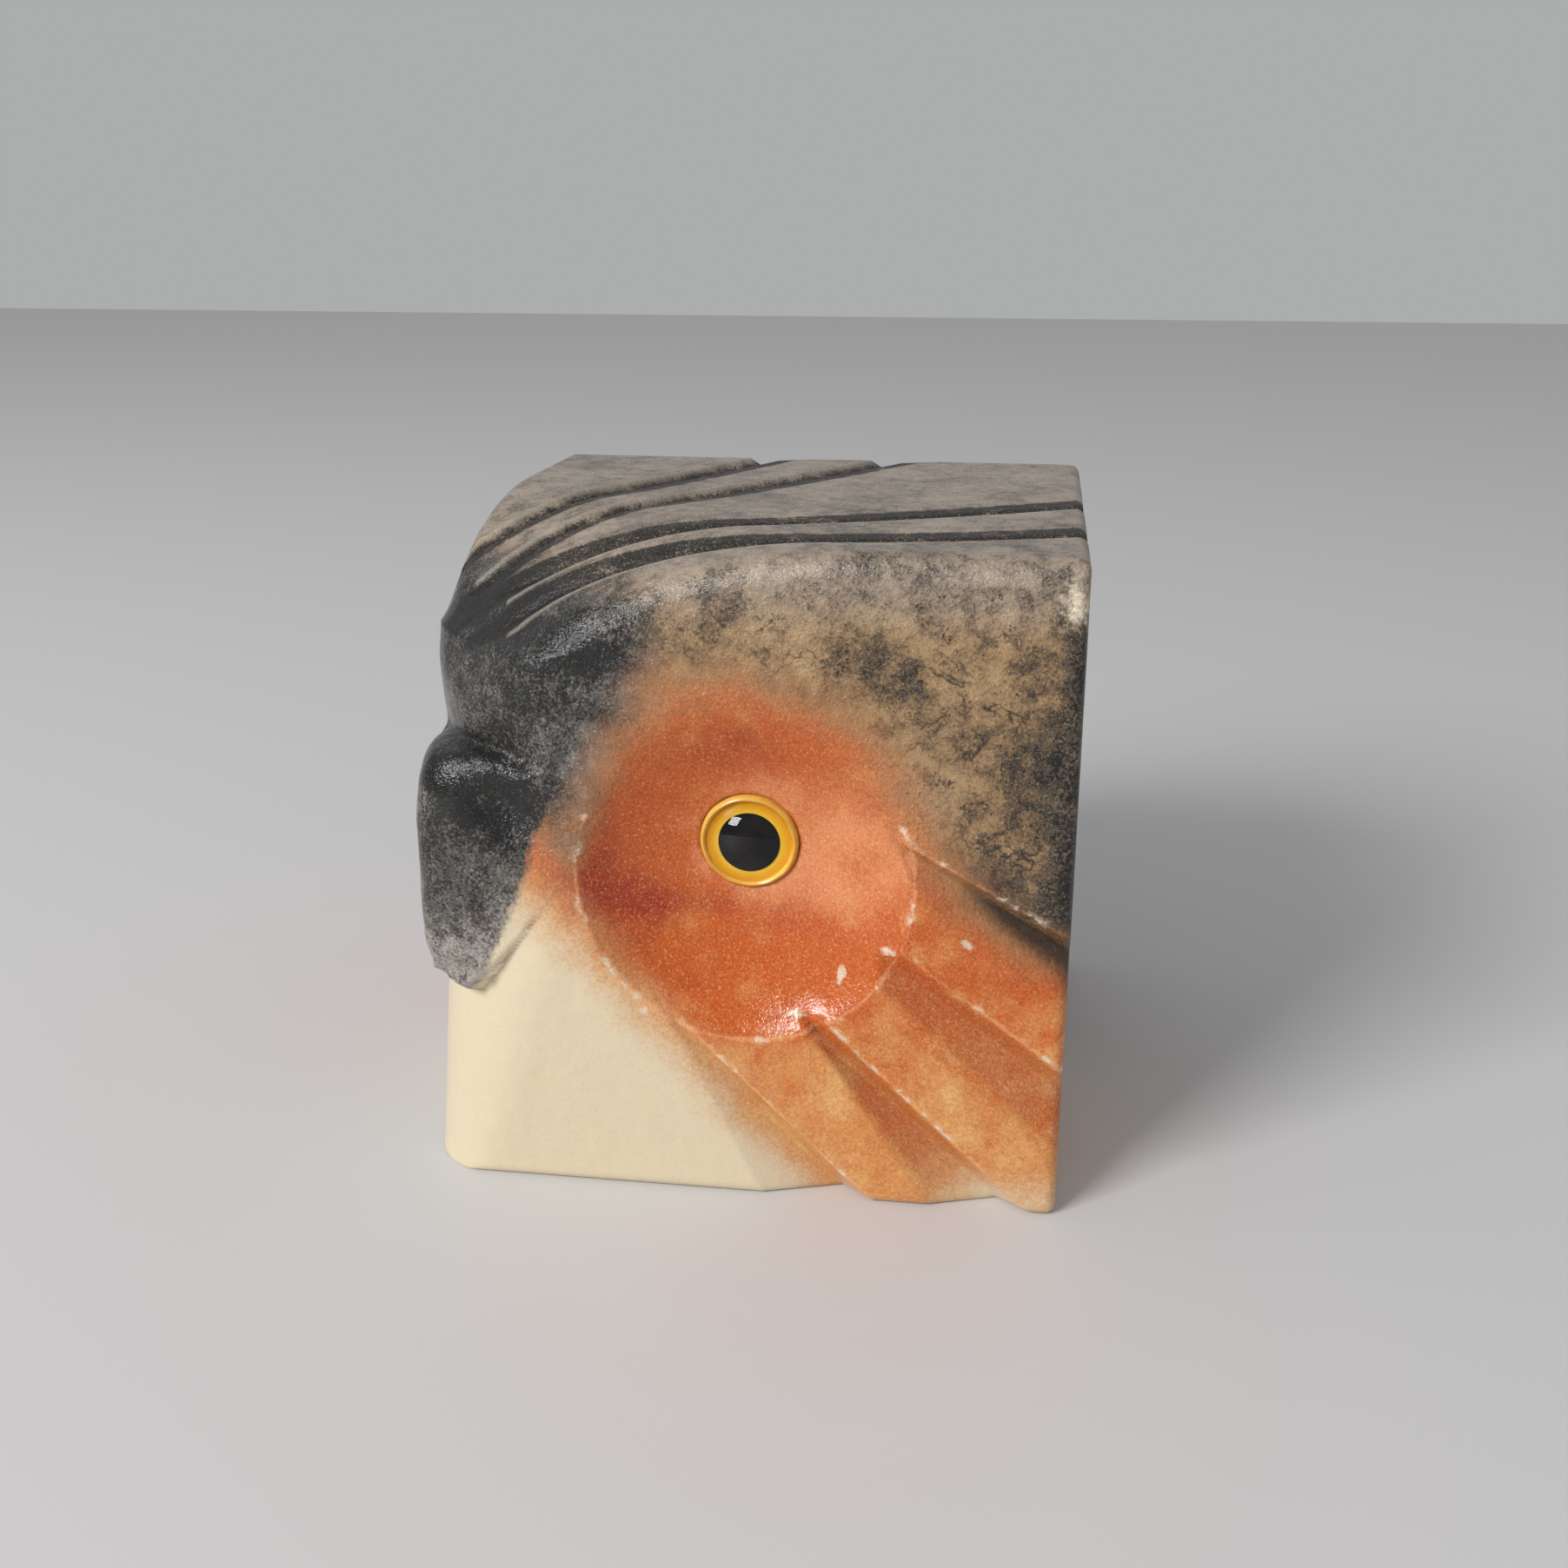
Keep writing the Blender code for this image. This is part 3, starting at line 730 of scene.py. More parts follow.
@dataclass(frozen=True)
class CrownCarving:
    """The steps that sweep over the crown, as a drop below the base form's top."""

    block: Block
    depth: float = 2.1 * MM
    front_depth: float = 1.2 * MM
    wall_width: float = 2.8 * MM
    slope_width: float = 11 * MM
    front_share: float = 0.40
    knee_width: float = 0.30
    knee_depth: float = 0.22
    samples: int = 240
    overrun: Pair = (-0.04, 1.06)
    full_width_at: float = 0.8
    full_depth_at: float = 0.5
    run_in: Pair = (-0.03, 0.08)
    shade_share: Pair = (0.80, 0.66)
    shade_span: Pair = (0.05, 0.65)
    shade_edge: float = 0.7 * MM
    steps: tuple[Step, ...] = (
        Step(((0.135, 0.101), (0.380, 0.127), (0.591, 0.042), (1.0, 0.219)),
             Wall.RIGHT),
        Step(((0.118, 0.169), (0.338, 0.186), (0.591, 0.219), (1.0, 0.489)),
             Wall.RIGHT),
        Step(((0.059, 0.211), (0.203, 0.278), (0.338, 0.439), (0.641, 1.0)),
             Wall.LEFT),
        Step(((0.0, 0.312), (0.101, 0.354), (0.186, 0.464), (0.405, 1.0)),
             Wall.LEFT),
    )

    def guide_points(self, step: Step) -> tuple[Array, Array, Array]:
        """Places, directions and shares along a step's bed, a little past both ends.

        Args:
            step: The step.

        Returns:
            The places, the unit directions and the shares.
        """
        share = np.linspace(*self.overrun, self.samples)[:, None]
        rest = 1.0 - share
        points = np.array(step.guide) * self.block.side
        place = (rest ** 3 * points[0] + 3 * rest ** 2 * share * points[1]
                 + 3 * rest * share ** 2 * points[2] + share ** 3 * points[3])
        run = (rest ** 2 * (points[1] - points[0]) + 2 * rest * share * (points[2] - points[1])
               + share ** 2 * (points[3] - points[2]))
        return place, run / np.linalg.norm(run, axis=1)[:, None], share[:, 0]

    def beside(self, step: Step, u: Array, v: Array) -> Both:
        """Where plan points lie against a step's bed.

        Args:
            step: The step.
            u: Places to the right.
            v: Places backwards.

        Returns:
            How far the points lie on the wall's side of the bed, and their shares of the
            bed's run.
        """
        place, run, share = self.guide_points(step)
        away = np.full(u.shape, np.inf)
        side = np.zeros_like(u)
        where = np.zeros_like(u)
        for (x, y), (du, dv), at in zip(place, run, share):
            gap = (u - x) ** 2 + (v - y) ** 2
            closer = gap < away
            away = np.where(closer, gap, away)
            side = np.where(closer, (u - x) * -dv + (v - y) * du, side)
            where = np.where(closer, at, where)
        return side * step.wall.value, where

    def slope(self, share: Array) -> Array:
        """Width of a step's slope at shares of its run."""
        widening = ease(share, 0.0, self.full_width_at)
        return self.slope_width * (self.front_share + (1.0 - self.front_share) * widening)

    def step_drop(self, step: Step, u: Array, v: Array) -> Array:
        """How deep one step lies under the crown.

        Args:
            step: The step.
            u: Places to the right.
            v: Places backwards.

        Returns:
            Depths.
        """
        side, share = self.beside(step, u, v)
        slope = self.slope(share)
        growth = ease(share, 0.0, self.full_depth_at)
        depth = self.front_depth + (self.depth - self.front_depth) * growth
        depth = depth * ease(share, *self.run_in)
        knee = slope * self.knee_width
        wall = 1.0 - side / self.wall_width
        steep = 1.0 - (1.0 - self.knee_depth) * (-side / knee)
        gentle = self.knee_depth * (1.0 + (side + knee) / (slope - knee))
        across = np.where(side > 0.0, wall, np.where(side > -knee, steep, gentle))
        return np.clip(across, 0.0, 1.0) * depth

    def drop(self, u: Array, v: Array) -> Array:
        """Depth of all the steps together at plan points."""
        return np.maximum.reduce([self.step_drop(step, u, v) for step in self.steps])

    def band(self, u: Array, v: Array) -> Array:
        """1 low down in the steps: painted shade there, partly the steps' darker stone.

        Args:
            u: Places to the right.
            v: Places backwards.

        Returns:
            The darkness, from 0 to 1.
        """
        total = np.zeros_like(u)
        for step in self.steps:
            side, share = self.beside(step, u, v)
            front, back = self.shade_share
            shade = self.slope(share) * (front + (back - front) * ease(share, *self.shade_span))
            below = ease(side, -shade - self.shade_edge, -0.90 * shade)
            total = np.maximum(total, below * (1.0 - ease(side, 0.2 * MM, self.wall_width)))
        return total

    def creases(self) -> list[Crease]:
        """The top of each step's wall and its bed.

        Returns:
            The lines.
        """
        lines = []
        for step in self.steps:
            crest = partial(self.line_miss, step, self.wall_width)
            lines.append(Crease(Edge.CREST, crest, True))
            lines.append(Crease(Edge.BED, partial(self.line_miss, step, 0.0), True))
        return lines

    def line_miss(self, step: Step, gap: float, u: Array, v: Array) -> Both:
        """How far points lie past a line beside a step's bed, and those that it may take."""
        side, share = self.beside(step, u, v)
        return side - gap, (share > 0.02) & (share < 1.05)


@dataclass(frozen=True)
class HeadSkin:
    """The carved stone: one closed skin, with its finish."""

    block: Block
    form: BaseForm
    cheek: CheekCarving
    crown: CrownCarving
    cuts: int = 165
    flat_cell: float = 2.8 * MM
    pull: float = 1.10
    carve_reach: float = 14 * MM
    drop_reach: float = 10 * MM
    top_reach: float = 0.3 * MM
    crown_foot: float = 88 * MM
    ridge_foot: float = 90 * MM
    edge_clear: float = 0.2 * MM
    face_skin: float = 1.0 * MM
    face_depth: float = 12 * MM
    snap_reach: float = 2.0 * MM
    probe: float = 0.01 * MM
    gape_reach: float = 1.6 * MM
    gape_span: Pair = (3.5 * MM, 33 * MM)
    gape_depth: float = 4 * MM
    wear: float = 0.16 * MM
    wear_span: Pair = (0.5 * MM, 3 * MM)
    wear_back: Pair = (40 * MM, 60 * MM)
    coarse_lump: float = 7 * MM
    fine_lump: float = 2.6 * MM
    crest_fade: Pair = (0.1 * MM, 0.9 * MM)
    # Width of the painted highlight along the crown steps' crests
    ridge_highlight_fade: Pair = (0.2 * MM, 1.1 * MM)
    front_fade: Pair = (34 * MM, 52 * MM)
    crown_fade: Pair = (104 * MM, 117 * MM)
    sawn_fade: Pair = (-1.0 * MM, -0.2 * MM)
    upward_fade: Pair = (0.2, 0.5)

    def grid(self) -> Maker:
        """A finely divided cube, one unit wide, that the sawn block is scaled from.

        Returns:
            The cube, still open to changes.
        """
        maker = bmesh.new()
        bmesh.ops.create_cube(maker, size=1.0)
        bmesh.ops.translate(maker, verts=maker.verts, vec=(0.5, 0.5, 0.5))
        bmesh.ops.subdivide_edges(maker, edges=maker.edges, cuts=self.cuts, use_grid_fill=True)
        return maker

    def beside_line(self, miss: Array, here: Array, edges: Array) -> Array:
        """The points nearest to a line, one for each edge that crosses it.

        Args:
            miss: How far each point lies beside the line.
            here: Which points it may take.
            edges: Pairs of joined points.

        Returns:
            The points' numbers.
        """
        first, second = edges.T
        crossing = here[first] & here[second] & (miss[first] * miss[second] < 0.0)
        nearer = np.where(np.abs(miss[first]) < np.abs(miss[second]), first, second)
        return np.unique(nearer[crossing])

    def snap(self, points: Array, edges: Array, line: Crease, taken: Array, mark: int) -> None:
        """Draw the points next to a line onto it, in place.

        Args:
            points: Points of the base form, which are changed.
            edges: Pairs of joined points.
            line: The line.
            taken: Marks of the points that a line has taken, which are changed.
            mark: This line's mark.
        """
        u, v, z = points.T
        along = u if line.crown else np.maximum(u, v)
        other = v if line.crown else z
        if line.crown:
            here = (z > self.crown_foot) & (np.minimum(u, v) > self.edge_clear)
        else:
            here = np.minimum(u, v) < self.face_skin
        miss, allowed = line.miss(along, other)
        here &= allowed & (taken == 0) & (np.abs(miss) < self.snap_reach)
        chosen = self.beside_line(miss, here, edges)
        if line.crown:
            top = self.form.crown_height(u[chosen], v[chosen])
            chosen = chosen[z[chosen] > top - self.top_reach]
        if not len(chosen):
            return
        a, b = along[chosen], other[chosen]
        for _ in range(2):
            off = line.miss(a, b)[0]
            slope_a = (line.miss(a + self.probe, b)[0] - off) / self.probe
            slope_b = (line.miss(a, b + self.probe)[0] - off) / self.probe
            size = slope_a ** 2 + slope_b ** 2
            a = np.minimum(a - off * slope_a / size, self.block.side)
            b = np.minimum(b - off * slope_b / size, self.block.side)
        if line.crown:
            points[chosen, 0], points[chosen, 1] = a, b
            points[chosen, 2] = self.form.crown_height(a, b)
        else:
            near = u[chosen] >= v[chosen]
            points[chosen[near], 0] = a[near]
            points[chosen[~near], 1] = a[~near]
            points[chosen, 2] = b
        taken[chosen] = mark

    def snap_gape(self, points: Array, edges: Array, taken: Array, mark: int) -> None:
        """Draw points next to the beak's lower edge onto it, in place.

        Args:
            points: Points of the base form, which are changed.
            edges: Pairs of joined points.
            taken: Marks of the points that a line has taken, which are changed.
            mark: The edge's mark.
        """
        u, v, z = points.T
        along, depth = np.maximum(u, v), np.minimum(u, v)
        miss = z - self.form.gape_line(along)
        start, end = self.gape_span
        here = (np.abs(miss) < self.gape_reach) & (along > start) & (along < end)
        here &= (depth < self.gape_depth) & (taken == 0)
        chosen = self.beside_line(miss, here, edges)
        a = along[chosen]
        b = self.form.gape_line(a)
        sunk = search(lambda deep: self.form.uncut(a, deep, b) > 0.0,
                      np.zeros_like(a), np.full_like(a, self.face_depth))
        near = u[chosen] >= v[chosen]
        points[chosen[near], 1] = sunk[near]
        points[chosen[~near], 0] = sunk[~near]
        points[chosen, 2] = b
        taken[chosen] = mark

    def carve(self, points: Array) -> Array:
        """Sink the dishes, feathers and steps into points of the base form.

        Args:
            points: Points of the base form.

        Returns:
            The points of the carved head.
        """
        u, v, z = points.T
        near = u >= v
        along, depth = np.maximum(u, v), np.minimum(u, v)
        cut = self.cheek.depth(along, z) * np.clip(1.0 - depth / self.carve_reach, 0.0, 1.0)
        sunk = depth + np.where(depth < self.carve_reach, cut, 0.0)
        side = self.block.side
        inside = np.minimum(side - along, depth) > 0.5 * self.block.bevel
        fade = np.clip((z - self.block.height) / self.drop_reach + 1.0, 0.0, 1.0)
        high = z > self.form.up(self.form.temple_top)
        drop = np.zeros_like(z)
        drop[high] = self.crown.drop(u[high], v[high])
        lowered = z - drop * np.where(inside, 1.0, fade)
        return np.stack((np.where(near, u, sunk), np.where(near, sunk, v), lowered), axis=1)

    def build(self) -> Item:
        """The carved skin as one object.

        Returns:
            The object, with its place in its mesh.
        """
        maker = self.grid()
        mesh = bpy.data.meshes.new("stone_skin")
        maker.to_mesh(mesh)
        maker.free()
        points = read_points(mesh)
        edges = np.zeros(len(mesh.edges) * 2, dtype=np.int32)
        mesh.edges.foreach_get("vertices", edges)
        edges = edges.reshape(-1, 2)
        scale = np.array((self.block.side, self.block.side, self.block.height))
        powers = np.array((self.pull, self.pull, 1.0))
        points = self.form.settle(np.clip(points, 0.0, 1.0) ** powers * scale)
        taken = np.zeros(len(points), dtype=np.int32)
        lines = self.cheek.creases() + self.crown.creases()
        for mark, line in enumerate(lines, start=1):
            self.snap(points, edges, line, taken, mark)
        self.snap_gape(points, edges, taken, len(lines) + 1)
        points = np.clip(self.carve(points), 0.0, scale)
        mesh.vertices.foreach_set("co", points.ravel())
        self.roughen(mesh, points)
        points = self.block.to_world(read_points(mesh))
        mesh.vertices.foreach_set("co", points.ravel())
        self.finish_mesh(mesh, taken)
        item = bpy.data.objects.new("stone_skin", mesh)
        bpy.context.scene.collection.objects.link(item)
        return item

    def roughen(self, mesh: Mesh, points: Array) -> None:
        """Sink the carved skin unevenly, as hand work leaves it; sawn faces stay flat.

        Args:
            mesh: The skin's mesh in the corner frame, which is changed.
            points: Its points.
        """
        u, v, z = points.T
        along = np.maximum(u, v)
        normals = np.zeros(points.size)
        mesh.vertex_normals.foreach_get("vector", normals)
        carved = ease(self.block.side - along, *self.wear_span) * ease(z, *self.wear_span)
        front = 1.0 - ease(u + v, *self.wear_back) * 0.6
        live = np.flatnonzero(carved * front > 0.0)
        coarse, fine = np.zeros(len(points)), np.zeros(len(points))
        for i in live:
            place = Vector(points[i])
            coarse[i] = noise.noise(place / self.coarse_lump)
            fine[i] = noise.noise(place / self.fine_lump)
        lump = np.clip(0.5 + 0.5 * coarse + 0.5 * fine, 0.0, 1.4)
        moved = points - normals.reshape(-1, 3) * (self.wear * lump * carved * front)[:, None]
        size = np.array((self.block.side, self.block.side, self.block.height))
        mesh.vertices.foreach_set("co", np.clip(moved, 0.0, size).ravel())

    def paint(self, mesh: Mesh, bands: "StoneBands") -> None:
        """Store where each band, crest and ridge lies as the skin's attributes, painted shade and
        painted highlights among them.

        Args:
            mesh: The skin's mesh, which takes the attributes.
            bands: Where each colour of stone lies.
        """
        half = self.block.side / 2
        u, v, z = (read_points(mesh) + np.array((half, half, 0.0))).T
        along, depth = np.maximum(u, v), np.minimum(u, v)
        away = u + v
        on_face = depth < self.face_depth
        crest, ridge = np.full_like(u, FAR), np.full_like(u, FAR)
        for line in self.cheek.creases() + self.crown.creases():
            if line.edge is not Edge.CREST:
                continue
            miss, allowed = line.miss(u, v) if line.crown else line.miss(along, z)
            here = allowed & ((z > self.ridge_foot) if line.crown else on_face)
            gap = np.where(here, np.abs(miss), FAR)
            if line.crown:
                ridge = np.minimum(ridge, gap)
            else:
                crest = np.minimum(crest, gap)
        normals = np.zeros(3 * len(u))
        mesh.vertex_normals.foreach_get("vector", normals)
        upward = ease(normals.reshape(-1, 3)[:, 2], *self.upward_fade) * (z > self.crown_foot)
        fields = {
            "cream": bands.cream(away, z),
            "warm": bands.warm(away, z),
            "beak": bands.beak(u, v, z),
            "dark": bands.dark(away, z),
            "red": bands.red(away, z),
            "salmon": bands.salmon(away, z),
            "pale": bands.pale(away, z),
            # Near the cheek's crests: the painted highlight and the worn bruises go there
            "crest": 1.0 - ease(crest, *self.crest_fade),
            # Painted shade down the feathers' grooves
            "slope": self.cheek.slope_shade(along, z) * on_face,
            "soot": self.cheek.sooty(along, z) * on_face,
            "front": 1.0 - ease(away, *self.front_fade),
            "knock": bands.knocked(along, z) * on_face,
            "crown": ease(z, *self.crown_fade),
            # Painted shade low in the crown's steps, on upward faces only, partly the steps'
            # darker stone
            "band": self.crown.band(u, v) * upward,
            # Painted highlight along the crests of the crown's steps, on upward faces only
            "ridge": (1.0 - ease(ridge, *self.ridge_highlight_fade)) * upward,
            "sawn": ease(along - self.block.side, *self.sawn_fade),
        }
        places = read_points(mesh)
        for cloud in Cloud:
            fields[cloud.attribute] = cloud.values(places)
        for name, values in fields.items():
            layer = mesh.attributes.new(name, "FLOAT", "POINT")
            layer.data.foreach_set("value", values.astype(np.float32))

    def coarsen(self, maker: Maker, axis: int, place: float) -> None:
        """Join the small faces of one flat sawn face into larger cells.

        Args:
            maker: The skin, which is changed.
            axis: The axis that the flat face looks along, 0, 1 or 2.
            place: Where it lies on that axis.
        """
        first, second = [other for other in range(3) if other != axis]
        groups: dict[tuple[int, int], list[bmesh.types.BMFace]] = {}
        for face in maker.faces:
            if all(abs(vert.co[axis] - place) < TINY for vert in face.verts):
                centre = face.calc_center_median()
                row, column = (math.floor(centre[i] / self.flat_cell) for i in (first, second))
                groups.setdefault((row % 2, column % 2), []).append(face)
        for faces in groups.values():
            bmesh.ops.dissolve_faces(maker, faces=faces, use_verts=True)

    def finish_mesh(self, mesh: Mesh, taken: Array) -> None:
        """Split the faces that a line crosses, and clear the flat sawn faces.

        Args:
            mesh: The skin's mesh, which is changed.
            taken: The marks of the points that lie on lines.
        """
        maker = bmesh.new()
        maker.from_mesh(mesh)
        maker.verts.ensure_lookup_table()
        for mark in range(1, int(taken.max()) + 1):
            chosen = [maker.verts[i] for i in np.flatnonzero(taken == mark)]
            if chosen:
                bmesh.ops.connect_verts(maker, verts=chosen)
        self.coarsen(maker, 0, self.block.side / 2)
        self.coarsen(maker, 1, self.block.side / 2)
        self.coarsen(maker, 2, 0.0)
        many = [f for f in maker.faces if len(f.verts) > 4]
        bmesh.ops.triangulate(maker, faces=many)
        bmesh.ops.recalc_face_normals(maker, faces=maker.faces)
        maker.to_mesh(mesh)
        maker.free()
        mesh.shade_smooth()


class Cloud(Enum):
    """Cloudy fields that the skin carries, each with the size of its largest features."""

    BROAD = 13 * MM
    WIDE = 9 * MM
    MIDDLE = 6 * MM
    SMALL = 3.6 * MM

    @property
    def attribute(self) -> str:
        """The name that the field is stored under."""
        return f"cloud_{self.name.lower()}"

    def values(self, points: Array) -> Array:
        """The field at points, around zero.

        Args:
            points: The points, one in each row.

        Returns:
            The values.
        """
        shift = Vector((0.0, 0.0, 10.0 * list(Cloud).index(self)))
        places = (Vector(point) / self.value + shift for point in points)
        return np.array([noise.fractal(place, 0.9, 2.1, 4) for place in places])


def read_points(mesh: Mesh) -> Array:
    """A mesh's points, one in each row.

    Args:
        mesh: The mesh.

    Returns:
        The points.
    """
    flat = np.zeros(len(mesh.vertices) * 3)
    mesh.vertices.foreach_get("co", flat)
    return flat.reshape(-1, 3)


def triangle_count(item: Item) -> int:
    """How many triangles a mesh object has."""
    return sum(len(face.vertices) - 2 for face in item.data.polygons)


@dataclass(frozen=True)
class Grain:
    """Fine noise: the size of its features, how far it wanders, and its detail."""

    size: float
    reach: float
    detail: float = 4.0


class Sketch:
    """Writes the nodes of one tree, so that a finish reads like a sum."""

    def __init__(self, tree: Tree) -> None:
        """Keep the tree that the nodes go into."""
        self.tree = tree

    def place(self) -> Socket:
        """The object coordinates."""
        return self.add("ShaderNodeTexCoord").outputs["Object"]

    def feed(self, socket: Socket, value: object) -> None:
        """Link an output to a socket, or set the socket's own value.

        Args:
            socket: The socket.
            value: An output, or a plain value.
        """
        if isinstance(value, Socket):
            self.tree.links.new(value, socket)
        else:
            socket.default_value = value

    def dress(self, node: Node, values: dict) -> None:
        """Feed a node's sockets by name or place."""
        for name, value in values.items():
            self.feed(node.inputs[name], value)

    def add(self, kind: str, inputs: dict | None = None, **settings: object) -> Node:
        """Add one node.

        Args:
            kind: The node's type.
            inputs: Values or outputs for its sockets, by name or place.
            settings: Values for its own settings.

        Returns:
            The node.
        """
        node = self.tree.nodes.new(kind)
        for name, value in settings.items():
            setattr(node, name, value)
        self.dress(node, inputs or {})
        return node

    def math(self, operation: str, first: object, second: object = 0.0) -> Socket:
        """One calculation with one or two numbers."""
        inputs = {0: first, 1: second}
        return self.add("ShaderNodeMath", inputs, operation=operation).outputs[0]

    def times(self, first: object, second: object) -> Socket:
        """Two numbers multiplied."""
        return self.math("MULTIPLY", first, second)

    def larger(self, first: object, second: object) -> Socket:
        """The larger of two numbers."""
        return self.math("MAXIMUM", first, second)

    def step(self, value: object, low: object, high: object) -> Socket:
        """A smooth step from 0 at low to 1 at high.

        Args:
            value: The number.
            low: Where the step starts.
            high: Where it ends.

        Returns:
            The eased number.
        """
        node = self.add("ShaderNodeMapRange", {"Value": value, "From Min": low, "From Max": high},
                        interpolation_type="SMOOTHSTEP")
        return node.outputs["Result"]

    def mix(self, factor: object, first: object, second: object, blend: str = "MIX") -> Socket:
        """A mix of two colours.

        Args:
            factor: The share of the second colour.
            first: One colour.
            second: The other.
            blend: How they mix.

        Returns:
            The colour.
        """
        node = self.add("ShaderNodeMix", {0: factor, 6: first, 7: second}, data_type="RGBA",
                        blend_type=blend)
        return node.outputs[2]

    def tint(self, colour: object, tone: Tone, share: object) -> Socket:
        """A colour with this share of a tone over it."""
        return self.mix(share, colour, srgb(*tone))

    def tones(self, value: object, stops: tuple[tuple[float, Tone], ...]) -> Socket:
        """A colour that runs through named tones.

        Args:
            value: The number that picks the tone.
            stops: Each tone's place and screen colour.

        Returns:
            The colour.
        """
        node = self.add("ShaderNodeValToRGB", {0: value})
        marks = node.color_ramp.elements
        while len(marks) < len(stops):
            marks.new(1.0)
        for mark, (place, colour) in zip(marks, stops):
            mark.position = place
            mark.color = srgb(*colour)
        return node.outputs[0]

    def wander(self, grain: Grain) -> Socket:
        """Fine noise around zero."""
        level = self.noise(grain.size, grain.detail, GRAIN_ROUGHNESS)
        return self.times(self.math("SUBTRACT", level, 0.5), 2.0 * grain.reach)

    def total(self, *values: object) -> Socket:
        """The sum of several numbers.

        Args:
            values: The numbers.

        Returns:
            Their sum.
        """
        result = values[0]
        for value in values[1:]:
            result = self.math("ADD", result, value)
        return result

    def noise(self, size: float, detail: float, roughness: float) -> Socket:
        """Cloudy numbers around 0.5 through the piece, with features of about this size."""
        return self.add("ShaderNodeTexNoise", {
            "Vector": self.place(), "Scale": 1.0 / size, "Detail": detail,
            "Roughness": roughness}).outputs[0]

    def cloud(self, cloud: Cloud, reach: float) -> Socket:
        """One of the skin's cloudy fields, this strong."""
        return self.attribute(cloud.attribute, reach)

    def attribute(self, name: str, share: float = 1.0) -> Socket:
        """The piece's own attribute of this name as a number, or a share of it."""
        value = self.add("ShaderNodeAttribute", attribute_name=name).outputs["Fac"]
        return value if share == 1.0 else self.times(value, share)

    def group(self, tree: Tree, **inputs: object) -> Socket:
        """Place a shared group that makes a mask of the object coordinates.

        Args:
            tree: The group.
            inputs: Values or outputs for its other inputs.

        Returns:
            The mask.
        """
        node = self.add("ShaderNodeGroup", {"Vector": self.place()}, node_tree=tree)
        self.dress(node, {name.title(): value for name, value in inputs.items()})
        return node.outputs["Mask"]


class Kind(Enum):
    """The socket types that the shared groups use."""

    NUMBER = "NodeSocketFloat"
    VECTOR = "NodeSocketVector"


def new_group(name: str, inputs: dict[str, tuple[Kind, object]],
              outputs: tuple[str, ...]) -> tuple[Sketch, Node, Node]:
    """Start a shared node group.

    Args:
        name: The group's name.
        inputs: Each input's kind and its usual value.
        outputs: Names of its number outputs.

    Returns:
        The sketch of its tree, its input node and its output node.
    """
    tree = bpy.data.node_groups.new(name, "ShaderNodeTree")
    for title, (kind, value) in inputs.items():
        socket = tree.interface.new_socket(title, in_out="INPUT", socket_type=kind.value)
        if kind is Kind.NUMBER:
            socket.default_value = value
    for title in outputs:
        tree.interface.new_socket(title, in_out="OUTPUT", socket_type=Kind.NUMBER.value)
    return Sketch(tree), tree.nodes.new("NodeGroupInput"), tree.nodes.new("NodeGroupOutput")


@dataclass(frozen=True)
class SharedEffects:
    """The node groups that the finishes share: clouds and veins."""

    clouds: Tree
    veins: Tree

    @classmethod
    def build(cls) -> "SharedEffects":
        """Build each group once."""
        return cls(clouds=cls.cloud_group(), veins=cls.vein_group())

    @staticmethod
    def cloud_group() -> Tree:
        """Cloudy patches: a mask that is 1 where noise is above a level.

        Returns:
            The group.
        """
        inputs = {"Vector": (Kind.VECTOR, None), "Scale": (Kind.NUMBER, 100.0),
                  "Detail": (Kind.NUMBER, 4.0), "Level": (Kind.NUMBER, 0.5),
                  "Softness": (Kind.NUMBER, 0.1), "Warp": (Kind.NUMBER, 0.0)}
        sketch, given, result = new_group("clouds", inputs, ("Mask",))
        value = sketch.add("ShaderNodeTexNoise", {
            "Vector": given.outputs["Vector"], "Scale": given.outputs["Scale"],
            "Detail": given.outputs["Detail"], "Roughness": 0.6,
            "Distortion": given.outputs["Warp"]}).outputs[0]
        low = sketch.math("SUBTRACT", given.outputs["Level"], given.outputs["Softness"])
        high = sketch.math("ADD", given.outputs["Level"], given.outputs["Softness"])
        sketch.feed(result.inputs["Mask"], sketch.step(value, low, high))
        return sketch.tree

    @staticmethod
    def vein_group() -> Tree:
        """Thin wispy veins where cloudy numbers cross their middle, in some places only.

        Returns:
            The group.
        """
        inputs = {"Vector": (Kind.VECTOR, None), "Scale": (Kind.NUMBER, 60.0),
                  "Width": (Kind.NUMBER, 0.03), "Patches": (Kind.NUMBER, 0.0)}
        sketch, given, result = new_group("veins", inputs, ("Mask",))
        value = sketch.add("ShaderNodeTexNoise", {
            "Vector": given.outputs["Vector"], "Scale": given.outputs["Scale"],
            "Detail": 5.0, "Roughness": 0.62, "Distortion": 0.4}).outputs[0]
        off = sketch.math("ABSOLUTE", sketch.math("SUBTRACT", value, 0.5))
        line = sketch.math("SUBTRACT", 1.0, sketch.step(off, 0.0, given.outputs["Width"]))
        open_places = sketch.step(given.outputs["Patches"], -0.25, 0.30)
        sketch.feed(result.inputs["Mask"], sketch.times(line, open_places))
        return sketch.tree


def srgb(red: int, green: int, blue: int) -> tuple[float, float, float, float]:
    """A linear colour from screen values of 0 to 255.

    Args:
        red: Red.
        green: Green.
        blue: Blue.

    Returns:
        The colour with full cover.
    """
    parts = [value / 255.0 for value in (red, green, blue)]
    linear = [x / 12.92 if x <= 0.04045 else ((x + 0.055) / 1.055) ** 2.4 for x in parts]
    return (*linear, 1.0)


def new_material(name: str) -> tuple[Material, Sketch, Node]:
    """A material with its sketch and its Principled shader.

    Args:
        name: The material's name.

    Returns:
        The material, its nodes, its shader.
    """
    material = bpy.data.materials.new(name)
    material.use_nodes = True
    return material, Sketch(material.node_tree), material.node_tree.nodes["Principled BSDF"]


